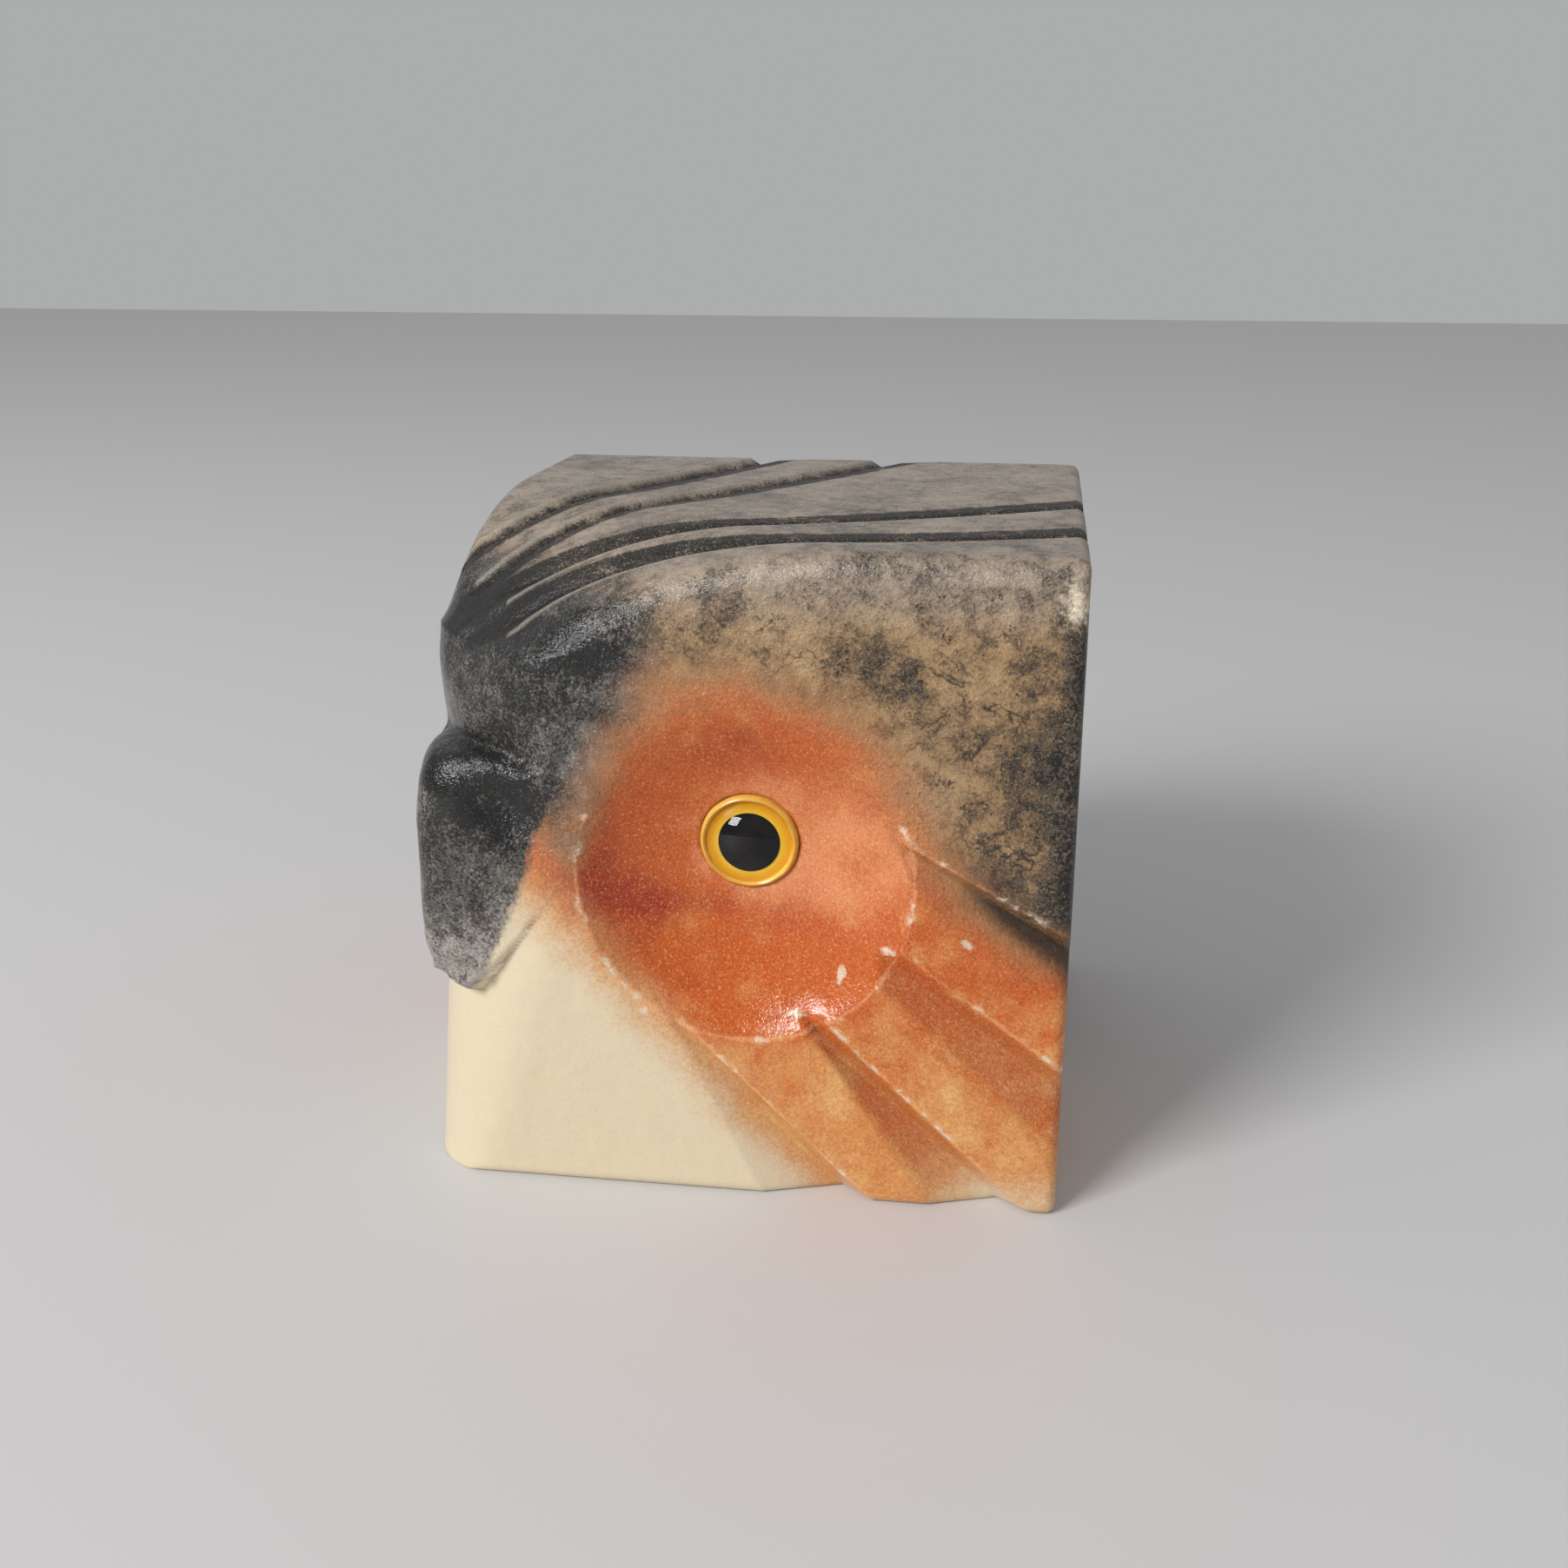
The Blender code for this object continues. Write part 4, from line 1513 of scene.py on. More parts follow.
@dataclass(frozen=True)
class StoneBands:
    """Where each colour of stone lies, as fields of u + v and z that both faces share."""

    block: Block
    form: BaseForm
    cheek: CheekCarving
    knocks: tuple[Spot, ...] = (
        Spot((0.985, 0.940), (4.6 * MM, 6.2 * MM), 1.30),
        Spot((0.735, 0.415), (1.9 * MM, 1.1 * MM), 1.7),
        Spot((0.664, 0.368), (0.9 * MM, 2.2 * MM), 1.9, -20.0),
        Spot((0.598, 0.302), (2.2 * MM, 0.9 * MM), 1.7),
        Spot((0.850, 0.437), (1.7 * MM, 1.1 * MM), 1.6, -30.0),
        Spot((0.365, 0.300), (1.2 * MM, 1.0 * MM), 1.6),
    )
    # Dark patches of the outer stone, and a strip of painted shade on the right edge's bevel
    dark_and_shade_spots: tuple[Spot, ...] = (
        Spot((0.300, 0.862), (13 * MM, 5.5 * MM), 0.62, 28.0),
        Spot((0.346, 0.735), (5.0 * MM, 4.5 * MM), 0.50),
        Spot((0.150, 0.630), (11 * MM, 8.0 * MM), 0.90, -45.0),
        Spot((0.075, 0.700), (6.0 * MM, 6.0 * MM), 0.20),
        Spot((0.110, 0.800), (5.0 * MM, 8.0 * MM), -0.12),
        Spot((0.065, 0.400), (8.0 * MM, 12 * MM), -0.34),
        # Painted shade on the right edge's bevel, which faces away from the light
        Spot((1.000, 0.690), (3.4 * MM, 24 * MM), 1.30),
        Spot((0.260, 0.800), (7.0 * MM, 4.0 * MM), -0.12),
        Spot((0.720, 0.850), (10 * MM, 4.5 * MM), 0.26, -35.0),
        Spot((0.830, 0.770), (9.0 * MM, 4.0 * MM), 0.18, -40.0),
        Spot((0.940, 0.690), (8.0 * MM, 12 * MM), 0.30),
        Spot((0.900, 0.515), (13 * MM, 3.0 * MM), 0.55, -32.0),
        Spot((0.985, 0.470), (6.0 * MM, 4.0 * MM), 0.45),
        Spot((0.490, 0.920), (5.0 * MM, 6.0 * MM), 0.20),
        Spot((0.850, 0.930), (10 * MM, 5.0 * MM), -0.16),
        Spot((0.580, 0.880), (8.0 * MM, 6.0 * MM), -0.10),
        Spot((0.780, 0.680), (6.0 * MM, 9.0 * MM), -0.16),
    )
    # Red patches of the orange stone; those on the dish's left wall are partly painted shade
    red_and_shade_spots: tuple[Spot, ...] = (
        # The dish's left wall, partly painted shade
        Spot((0.310, 0.470), (13 * MM, 13 * MM), 0.82),
        Spot((0.245, 0.500), (5.0 * MM, 8.0 * MM), 0.35),
        Spot((0.500, 0.455), (15 * MM, 3.4 * MM), 0.62, -4.0),
        Spot((0.640, 0.420), (9.0 * MM, 2.6 * MM), 0.30, 12.0),
        Spot((0.470, 0.700), (17 * MM, 8.0 * MM), 0.36),
        Spot((0.360, 0.600), (8.0 * MM, 12 * MM), 0.25),
        Spot((0.950, 0.430), (9.0 * MM, 7.0 * MM), 0.55, -35.0),
        Spot((0.820, 0.480), (10 * MM, 5.0 * MM), 0.30, -40.0),
    )
    throat_top: float = 77.4 * MM
    throat_fall: float = 1.03
    throat_stretch: float = 1.436
    corner_at: float = 111 * MM
    corner_radius: float = 2.5 * MM
    corner_stretch: float = 1.8
    warm_left: Pair = (41.0 * MM, 85.5 * MM)
    warm_left_slant: Pair = (-0.878, 0.478)
    warm_disc: Pair = (60 * MM, 63 * MM)
    warm_radius: float = 33.5 * MM
    warm_feathers: Pair = (97 * MM, 62 * MM)
    warm_feather_slant: Pair = (0.555, 0.832)
    warm_blend: float = 8 * MM
    warm_under_cream: float = 1.3
    beak_back: float = 15 * MM
    beak_back_level: float = 42 * MM
    beak_back_lean: float = 0.40
    beak_back_stretch: float = 1.077
    beak_overlap: float = 0.6 * MM
    front_dark: float = 0.80
    front_span: Pair = (16 * MM, 54 * MM)
    front_lean: float = 0.55
    front_level: float = 80 * MM
    front_top_loss: float = 0.42
    front_top_span: Pair = (103 * MM, 112 * MM)
    back_dark: float = 0.26
    corner_dark: float = 0.36
    corner_span: Pair = (92 * MM, 128 * MM)
    corner_lean: float = 0.3
    corner_level: float = 90 * MM
    # How much of the corner's darkness the crown's tops lose, partly as painted sheen
    corner_top_sheen_loss: float = 0.85
    top_span: Pair = (106 * MM, 116 * MM)
    top_dark: float = 0.12
    top_middle: float = 92 * MM
    top_reach: float = 30 * MM
    most_dark: float = 0.50
    far_back_loss: float = 0.10
    far_back_span: Pair = (120 * MM, 170 * MM)
    pale_height: float = 60 * MM
    pale_reach: float = 62 * MM
    pale_edge: float = 3 * MM
    pale_feathers: float = 0.25
    pale_foot: float = 0.90
    salmon_right: Pair = (78 * MM, 66 * MM)
    salmon_span: Pair = (6 * MM, 22 * MM)
    salmon_ring: Pair = (61 * MM, 68 * MM)
    salmon_reach: float = 13 * MM
    salmon_ring_share: float = 0.5

    def throat(self, away: Array, z: Array) -> Array:
        """How deep points lie below the slanting line over the cream throat."""
        return (self.throat_top - z - self.throat_fall * away) / self.throat_stretch

    def cream(self, away: Array, z: Array) -> Array:
        """How deep points lie inside the cream stone at the front foot, in centimetres."""
        corner = self.corner_radius - np.hypot((away - self.corner_at) / self.corner_stretch, z)
        return np.maximum(self.throat(away, z), corner) / CENTIMETRE

    def warm(self, away: Array, z: Array) -> Array:
        """How deep points lie inside the orange stone, in centimetres.

        Args:
            away: Sums u + v.
            z: Heights.

        Returns:
            Depths.
        """
        left = self.past_line(self.warm_left, self.warm_left_slant, away, z)
        disc = np.hypot(away - self.warm_disc[0], z - self.warm_disc[1]) - self.warm_radius
        feathers = self.past_line(self.warm_feathers, self.warm_feather_slant, away, z)
        covered = -soft_max(-disc, -feathers, self.warm_blend)
        outside = soft_max(left, covered, self.warm_blend)
        throat = self.throat(away, z) / CENTIMETRE
        return np.maximum(-outside / CENTIMETRE, throat + self.warm_under_cream)

    def past_line(self, through: Pair, slant: Pair, away: Array, z: Array) -> Array:
        """How far points lie past a line through a place, along the slant's direction."""
        return slant[0] * (away - through[0]) + slant[1] * (z - through[1])

    def beak(self, u: Array, v: Array, z: Array) -> Array:
        """How deep points lie inside the beak's charcoal stone, in centimetres.

        Args:
            u: Places to the right.
            v: Places backwards.
            z: Heights.

        Returns:
            Depths.
        """
        back = self.beak_back + self.beak_back_lean * (z - self.beak_back_level)
        edge = (back - u - v) / self.beak_back_stretch
        above = z - self.form.gape_line(np.maximum(u, v))
        above = above + self.form.underside_slope * np.minimum(u, v) + self.beak_overlap
        return np.minimum(edge, above) / CENTIMETRE

    def dark(self, away: Array, z: Array) -> Array:
        """How dark the outer stone is: charcoal at the beak and forehead, tan behind, with painted
        shade down the right edge's bevel and the crown's tops lighter, partly as painted sheen.

        Args:
            away: Sums u + v.
            z: Heights.

        Returns:
            The darkness, from 0 to 1.3.
        """
        front = 1.0 - ease(away - self.front_lean * (z - self.front_level), *self.front_span)
        front = front * (1.0 - self.front_top_loss * ease(z, *self.front_top_span))
        leaning = away + self.corner_lean * (self.corner_level - z)
        corner = ease(leaning, *self.corner_span) * self.corner_dark
        top = ease(z, *self.top_span)
        middle = self.top_dark * np.exp(-((away - self.top_middle) / self.top_reach) ** 2)
        # The crown's tops lighter towards the back corner, partly as painted sheen
        corner = corner * (1.0 - self.corner_top_sheen_loss * top) + middle * top
        back = self.far_back_loss * ease(away, *self.far_back_span)
        behind = self.back_dark + np.minimum(corner, self.most_dark - back)
        total = np.maximum(self.front_dark * front, behind)
        # The spots, the right edge's painted shade among them
        total = total + sum(spot.at(self.block, away, z) for spot in self.dark_and_shade_spots)
        return np.clip(total, 0.0, 1.3)

    def knocked(self, along: Array, z: Array) -> Array:
        """How bruised the stone is where something knocked it, above 1 at the middle."""
        return np.maximum.reduce([spot.at(self.block, along, z) for spot in self.knocks])

    def red(self, away: Array, z: Array) -> Array:
        """How red the orange stone is: deep at the dish's left and under the eye, the dish's left
        wall partly as painted shade.
        """
        return np.clip(sum(spot.at(self.block, away, z) for spot in self.red_and_shade_spots), 0.0, 1.0)

    def pale(self, away: Array, z: Array) -> Array:
        """How pale the orange stone is: the feathers, palest at the foot.

        Args:
            away: Sums u + v.
            z: Heights.

        Returns:
            The strengths.
        """
        foot = ease(self.pale_height - z, 0.0, self.pale_reach)
        rim = self.cheek.dish_radius
        feathers = ease(self.cheek.from_dish(away, z), rim - self.pale_edge, rim + self.pale_edge)
        return feathers * (self.pale_feathers + self.pale_foot * foot)

    def salmon(self, away: Array, z: Array) -> Array:
        """How pink the orange stone is: most at the dish's right.

        Args:
            away: Sums u + v.
            z: Heights.

        Returns:
            The strengths, from 0 to 1.
        """
        (right_u, right_z), (ring_u, ring_z) = self.salmon_right, self.salmon_ring
        right = 1.0 - ease(np.hypot(away - right_u, z - right_z), *self.salmon_span)
        across, up = (away - ring_u) / self.salmon_reach, (z - ring_z) / self.salmon_reach
        ring = np.exp(-(across ** 2 + up ** 2))
        return np.clip(right + self.salmon_ring_share * ring, 0.0, 1.0)


@dataclass(frozen=True)
class Stain:
    """A colour that comes in where a band and a cloud add up, from its start to its full."""

    band: str
    cloud: Cloud
    reach: float
    start: float
    full: float
    tone: Tone


@dataclass(frozen=True)
class VeinSet:
    """One set of veins: their scale, width and share, and the cloud that they keep to."""

    scale: float
    width: float
    share: float
    patches: Cloud


@dataclass(frozen=True)
class StoneFinish:
    """Banded alabaster: cream, orange and charcoal, translucent, with a soft polish."""

    effects: SharedEffects
    cream: Tone = (215, 200, 170)
    cream_warm: Tone = (204, 150, 98)
    orange: Tone = (188, 88, 28)
    halo: Tone = (168, 116, 74)
    fleck: Tone = (236, 178, 128)
    charcoal: Tone = (22, 18, 15)
    ash: Tone = (126, 110, 90)
    bruise: Tone = (222, 208, 184)
    # Painted highlight along the dish's rim and the feathers' crests
    crest_highlight: Tone = (228, 164, 112)
    glint: Tone = (186, 172, 150)
    # Painted highlight along the crown steps' crests
    ridge_highlight_grey: Tone = (168, 160, 144)
    outer_tones: tuple[tuple[float, Tone], ...] = (
        (0.05, (170, 140, 102)),
        (0.26, (138, 108, 74)),
        (0.42, (98, 78, 56)),
        (0.62, (54, 45, 36)),
        (0.86, (24, 21, 20)),
    )
    # The orange stone
    stains: tuple[Stain, ...] = (
        Stain("salmon", Cloud.WIDE, 0.50, 0.10, 1.20, (214, 134, 86)),
        Stain("pale", Cloud.MIDDLE, 0.60, 0.00, 1.20, (206, 136, 74)),
        Stain("pale", Cloud.WIDE, -0.80, 0.70, 1.60, (218, 166, 104)),
    )
    red_stain: Stain = Stain("red", Cloud.BROAD, 0.34, 0.05, 1.15, (150, 42, 16))
    # Painted shade down the grooves' slopes, in deep red
    groove_painted_shade: Stain = Stain("slope", Cloud.MIDDLE, 0.30, 0.20, 1.05, (150, 42, 16))
    groove_shade_share: float = 0.40
    warm_grain: Grain = Grain(1.1 * MM, 0.40, 3.0)
    warm_fleck_size: float = 0.42 * MM
    warm_fleck_span: Pair = (0.50, 0.80)
    warm_fleck_share: float = 0.40
    # The outer stone's tone
    dark_share: float = 0.62
    front_more: float = 0.28
    # Painted shade low in the crown's steps
    step_shade_more: float = 0.30
    # The crown's tops a little lighter, partly as painted sheen
    crown_sheen_lift: float = -0.03
    broad_tone: float = 0.20
    small_tone: float = 0.14
    blotches: Grain = Grain(2.0 * MM, 0.36)
    salt: Grain = Grain(0.5 * MM, 0.42, 1.0)
    # Ash, painted shade low in the crown's steps, veins, flecks and the painted highlight on the
    # steps' ridges in the outer stone
    speckle: Grain = Grain(0.6 * MM, 2.2, 2.0)
    ash_cloud: float = 0.60
    ash_by_tone: float = -1.6
    ash_span: Pair = (-1.60, -0.10)
    ash_share: float = 0.9
    charcoal_span: Pair = (0.46, 0.78)
    crown_grey: float = 0.60
    grey_saturation: float = 0.26
    grey_value: float = 0.94
    # Painted shade low in the crown's steps, ragged, partly their darker stone
    band_cloud: float = 0.45
    step_shade_speckle: float = 0.7
    step_shade_span: Pair = (0.38, 0.85)
    step_shade_share: float = 0.92
    veins: tuple[VeinSet, ...] = (
        VeinSet(42.0, 0.016, 1.0, Cloud.MIDDLE),
        VeinSet(120.0, 0.035, 0.70, Cloud.SMALL),
    )
    vein_share: float = 0.85
    vein_crown_loss: float = -0.45
    fleck_size: float = 0.40 * MM
    fleck_span: Pair = (0.54, 0.78)
    fleck_share: float = 0.40
    fleck_dark_loss: float = -0.34
    fleck_dark_span: Pair = (0.55, 1.0)
    fleck_roughness: float = 0.55
    # Share of the painted highlight along the crown steps' crests
    ridge_highlight_share: float = 0.55
    # Where the bands meet
    edge_cloud: float = 0.24
    edge_grain: Grain = Grain(1.1 * MM, 0.26, 2.0)
    beak_wander: float = 0.5
    warm_span: Pair = (-0.90, 0.30)
    halo_span: Pair = (-0.30, 0.75)
    cream_warm_span: Pair = (-1.2, 0.0)
    cream_span: Pair = (-0.6, 0.5)
    beak_span: Pair = (-0.10, 0.10)
    soot_wander: float = 0.8
    soot_span: Pair = (0.35, 0.95)
    soot_share: float = 0.85
    # The painted highlight along the cheek's crests
    crest_cloud: float = 0.5
    crest_highlight_span: Pair = (0.45, 1.2)
    crest_highlight_share: float = 0.55
    overlay_warm_loss: float = -0.30
    overlay_cream_loss: float = -0.58
    overlay_size: float = 0.5 * MM
    overlay_detail: float = 2.0
    overlay_roughness: float = 0.8
    # Bruises
    chip_patches: Pair = (0.05, 0.25)
    chip_grain: Grain = Grain(1.6 * MM, 0.9, 3.0)
    chip_span: Pair = (0.70, 1.40)
    worn_share: float = 0.8
    chip_share: float = 0.80
    # Gloss, relief and translucency
    roughness: float = 0.36
    gloss_grain: Grain = Grain(1.3 * MM, 0.12, 2.0)
    gloss_dark: float = -0.25
    gloss_warm: float = -0.28
    matt_cream: float = 0.30
    matt_band: float = 0.28
    matt_sawn: float = 0.15
    polish_span: Pair = (0.0, 1.0)
    matt_span: Pair = (-0.6, 0.3)
    relief: float = 0.26 * MM
    relief_cream_loss: float = -0.10
    relief_warm_loss: float = -0.66
    relief_fine: Triple = (0.6 * MM, 2.0, 0.7)
    relief_coarse: Triple = (2.0 * MM, 1.0, 0.5)
    translucency: float = 0.20
    light_reach: Triple = (1.0, 0.42, 0.20)
    light_depth: float = 2.5 * MM
    ior: float = 1.52
    specular: float = 0.45

    def build(self) -> Material:
        """The stone's material, from its object coordinates and its skin's attributes.

        Returns:
            The material.
        """
        material, sketch, shader = new_material("banded alabaster")
        self.surface(sketch, shader)
        sketch.dress(shader, {
            "Base Color": self.colour(sketch), "Subsurface Weight": self.translucency,
            "Subsurface Radius": self.light_reach, "Subsurface Scale": self.light_depth,
            "IOR": self.ior, "Specular IOR Level": self.specular})
        return material

    def stained(self, sketch: Sketch, stain: Stain, grain: Socket) -> Socket:
        """How far a stain has come in, from 0 to 1.

        Args:
            sketch: The material's nodes.
            stain: The stain.
            grain: Fine noise.

        Returns:
            The share.
        """
        amount = sketch.total(sketch.attribute(stain.band),
                              sketch.cloud(stain.cloud, stain.reach), grain)
        return sketch.step(amount, stain.start, stain.full)

    def flecks(self, sketch: Sketch, size: float, span: Pair) -> Socket:
        """Small flecks of about this size, from 0 to 1."""
        return sketch.step(sketch.noise(size, 1.0, self.fleck_roughness), *span)

    def warm_stone(self, sketch: Sketch) -> Socket:
        """Orange stone with red, salmon and pale clouds, and painted shade down the grooves'
        slopes.

        Args:
            sketch: The material's nodes.

        Returns:
            The colour.
        """
        grain = sketch.wander(self.warm_grain)
        colour = srgb(*self.orange)
        for stain in self.stains:
            colour = sketch.tint(colour, stain.tone, self.stained(sketch, stain, grain))
        # The grooves' painted shade joins the red stain
        grooves = sketch.times(self.stained(sketch, self.groove_painted_shade, grain), self.groove_shade_share)
        red = sketch.larger(self.stained(sketch, self.red_stain, grain), grooves)
        colour = sketch.tint(colour, self.red_stain.tone, red)
        flecks = self.flecks(sketch, self.warm_fleck_size, self.warm_fleck_span)
        return sketch.tint(colour, self.fleck, sketch.times(flecks, self.warm_fleck_share))

    def outer_tone(self, sketch: Sketch) -> Socket:
        """How dark the outer stone is at each point, from its bands, clouds and grain, with
        painted shade low in the crown's steps and its tops a little lighter, partly as painted
        sheen.

        Args:
            sketch: The material's nodes.

        Returns:
            The tone.
        """
        darker = sketch.total(self.dark_share, sketch.attribute("front", self.front_more))
        return sketch.total(
            sketch.times(sketch.attribute("dark"), darker),
            # Painted shade low in the crown's steps, and the crown's tops a little lighter, partly
            # as painted sheen
            sketch.attribute("band", self.step_shade_more), sketch.attribute("crown", self.crown_sheen_lift),
            sketch.cloud(Cloud.BROAD, self.broad_tone), sketch.cloud(Cloud.SMALL, self.small_tone),
            sketch.wander(self.blotches), sketch.wander(self.salt))

    def vein_lines(self, sketch: Sketch) -> Socket:
        """Where the dark veins are, fainter on the crown.

        Args:
            sketch: The material's nodes.

        Returns:
            The mask.
        """
        lines = None
        for veins in self.veins:
            patches = sketch.attribute(veins.patches.attribute)
            mask = sketch.group(self.effects.veins, scale=veins.scale, width=veins.width,
                                patches=patches)
            mask = mask if veins.share == 1.0 else sketch.times(mask, veins.share)
            lines = mask if lines is None else sketch.larger(lines, mask)
        crown = sketch.attribute("crown", self.vein_crown_loss)
        return sketch.times(lines, sketch.total(self.vein_share, crown))

    def outer_stone(self, sketch: Sketch) -> Socket:
        """Tan to charcoal stone with speckles, ash clouds and veins, painted shade low in the
        crown's steps, partly their darker stone, and a painted highlight on the steps' ridges.

        Args:
            sketch: The material's nodes.

        Returns:
            The colour.
        """
        tone = self.outer_tone(sketch)
        speckle = sketch.wander(self.speckle)
        ash = sketch.total(sketch.cloud(Cloud.MIDDLE, self.ash_cloud), speckle,
                           sketch.times(tone, self.ash_by_tone))
        ash = sketch.times(sketch.step(ash, *self.ash_span), self.ash_share)
        charcoal = sketch.tint(srgb(*self.charcoal), self.ash, ash)
        colour = sketch.mix(sketch.step(tone, *self.charcoal_span),
                            sketch.tones(tone, self.outer_tones), charcoal)
        grey = sketch.larger(sketch.attribute("crown", self.crown_grey),
                             sketch.attribute("front"))
        colour = sketch.add("ShaderNodeHueSaturation", {
            "Color": colour, "Saturation": self.grey_saturation, "Value": self.grey_value,
            "Fac": grey}).outputs[0]
        # Painted shade low in the crown's steps, ragged, in charcoal
        ragged_step_shade = sketch.total(sketch.attribute("band"), sketch.cloud(Cloud.SMALL, self.band_cloud),
                              sketch.times(speckle, self.step_shade_speckle))
        ragged_step_shade = sketch.times(sketch.step(ragged_step_shade, *self.step_shade_span), self.step_shade_share)
        colour = sketch.tint(colour, self.charcoal, ragged_step_shade)
        colour = sketch.tint(colour, self.charcoal, self.vein_lines(sketch))
        loss = sketch.times(sketch.step(tone, *self.fleck_dark_span), self.fleck_dark_loss)
        flecks = sketch.times(self.flecks(sketch, self.fleck_size, self.fleck_span),
                              sketch.total(self.fleck_share, loss))
        colour = sketch.tint(colour, self.glint, flecks)
        # Painted highlight along the crown steps' crests
        return sketch.tint(colour, self.ridge_highlight_grey, sketch.attribute("ridge", self.ridge_highlight_share))

    def colour(self, sketch: Sketch) -> Socket:
        """All the bands together, with a painted highlight along the cheek's crests and pale
        bruises on the worn crests.

        Args:
            sketch: The material's nodes.

        Returns:
            The colour.
        """
        wander = sketch.total(sketch.cloud(Cloud.WIDE, self.edge_cloud),
                              sketch.wander(self.edge_grain))
        warm = sketch.total(sketch.attribute("warm"), wander)
        cream = sketch.total(sketch.attribute("cream"), wander)
        beak = sketch.total(sketch.attribute("beak"), sketch.times(wander, self.beak_wander))
        outer = self.outer_stone(sketch)
        orange = sketch.mix(sketch.step(warm, *self.halo_span), srgb(*self.halo),
                            self.warm_stone(sketch))
        warm_share = sketch.step(warm, *self.warm_span)
        cream_share = sketch.step(cream, *self.cream_span)
        colour = sketch.mix(warm_share, outer, orange)
        colour = sketch.tint(colour, self.cream_warm, sketch.step(cream, *self.cream_warm_span))
        colour = sketch.tint(colour, self.cream, cream_share)
        colour = sketch.mix(sketch.step(beak, *self.beak_span), colour, outer)
        soot = sketch.total(sketch.attribute("soot"), sketch.times(wander, self.soot_wander))
        soot = sketch.times(sketch.step(soot, *self.soot_span), self.soot_share)
        colour = sketch.tint(colour, self.charcoal, soot)
        # Painted highlight along the dish's rim and the feathers' crests
        crest = sketch.total(sketch.attribute("crest"),
                             sketch.cloud(Cloud.SMALL, self.crest_cloud), wander)
        crest = sketch.times(sketch.step(crest, *self.crest_highlight_span), warm_share)
        colour = sketch.tint(colour, self.crest_highlight, sketch.times(crest, self.crest_highlight_share))
        colour = sketch.tint(colour, self.bruise, self.bruises(sketch))
        strength = sketch.total(1.0, sketch.times(warm_share, self.overlay_warm_loss),
                                sketch.times(cream_share, self.overlay_cream_loss))
        grain = sketch.noise(self.overlay_size, self.overlay_detail, self.overlay_roughness)
        return sketch.mix(strength, colour, grain, "OVERLAY")

    def bruises(self, sketch: Sketch) -> Socket:
        """Where worn crests and the chipped corner show pale stone, from 0 to 1.

        Args:
            sketch: The material's nodes.

        Returns:
            The share of pale stone.
        """
        chips = sketch.group(self.effects.clouds, scale=420.0, detail=3.0, level=0.50,
                             softness=0.08)
        patches = sketch.step(sketch.attribute(Cloud.MIDDLE.attribute), *self.chip_patches)
        worn = sketch.times(sketch.times(chips, patches), sketch.attribute("crest"))
        chipped = sketch.total(sketch.attribute("knock"), sketch.wander(self.chip_grain))
        chipped = sketch.times(sketch.step(chipped, *self.chip_span), self.chip_share)
        return sketch.larger(sketch.times(worn, self.worn_share), chipped)

    def surface(self, sketch: Sketch, shader: Node) -> None:
        """Roughness and fine relief.

        Args:
            sketch: The material's nodes.
            shader: The shader that takes them.
        """
        polished = sketch.step(sketch.attribute("warm"), *self.polish_span)
        matt = sketch.step(sketch.attribute("cream"), *self.matt_span)
        rough = sketch.total(self.roughness, sketch.wander(self.gloss_grain),
                             sketch.attribute("dark", self.gloss_dark),
                             sketch.times(polished, self.gloss_warm),
                             sketch.times(matt, self.matt_cream),
                             sketch.attribute("band", self.matt_band),
                             sketch.attribute("sawn", self.matt_sawn))
        height = sketch.total(sketch.noise(*self.relief_fine), sketch.noise(*self.relief_coarse))
        strength = sketch.total(1.0, sketch.times(matt, self.relief_cream_loss),
                                sketch.times(polished, self.relief_warm_loss))
        bump = sketch.add("ShaderNodeBump", {"Height": height, "Strength": strength,
                                             "Distance": self.relief})
        sketch.dress(shader, {"Roughness": rough, "Normal": bump.outputs["Normal"]})


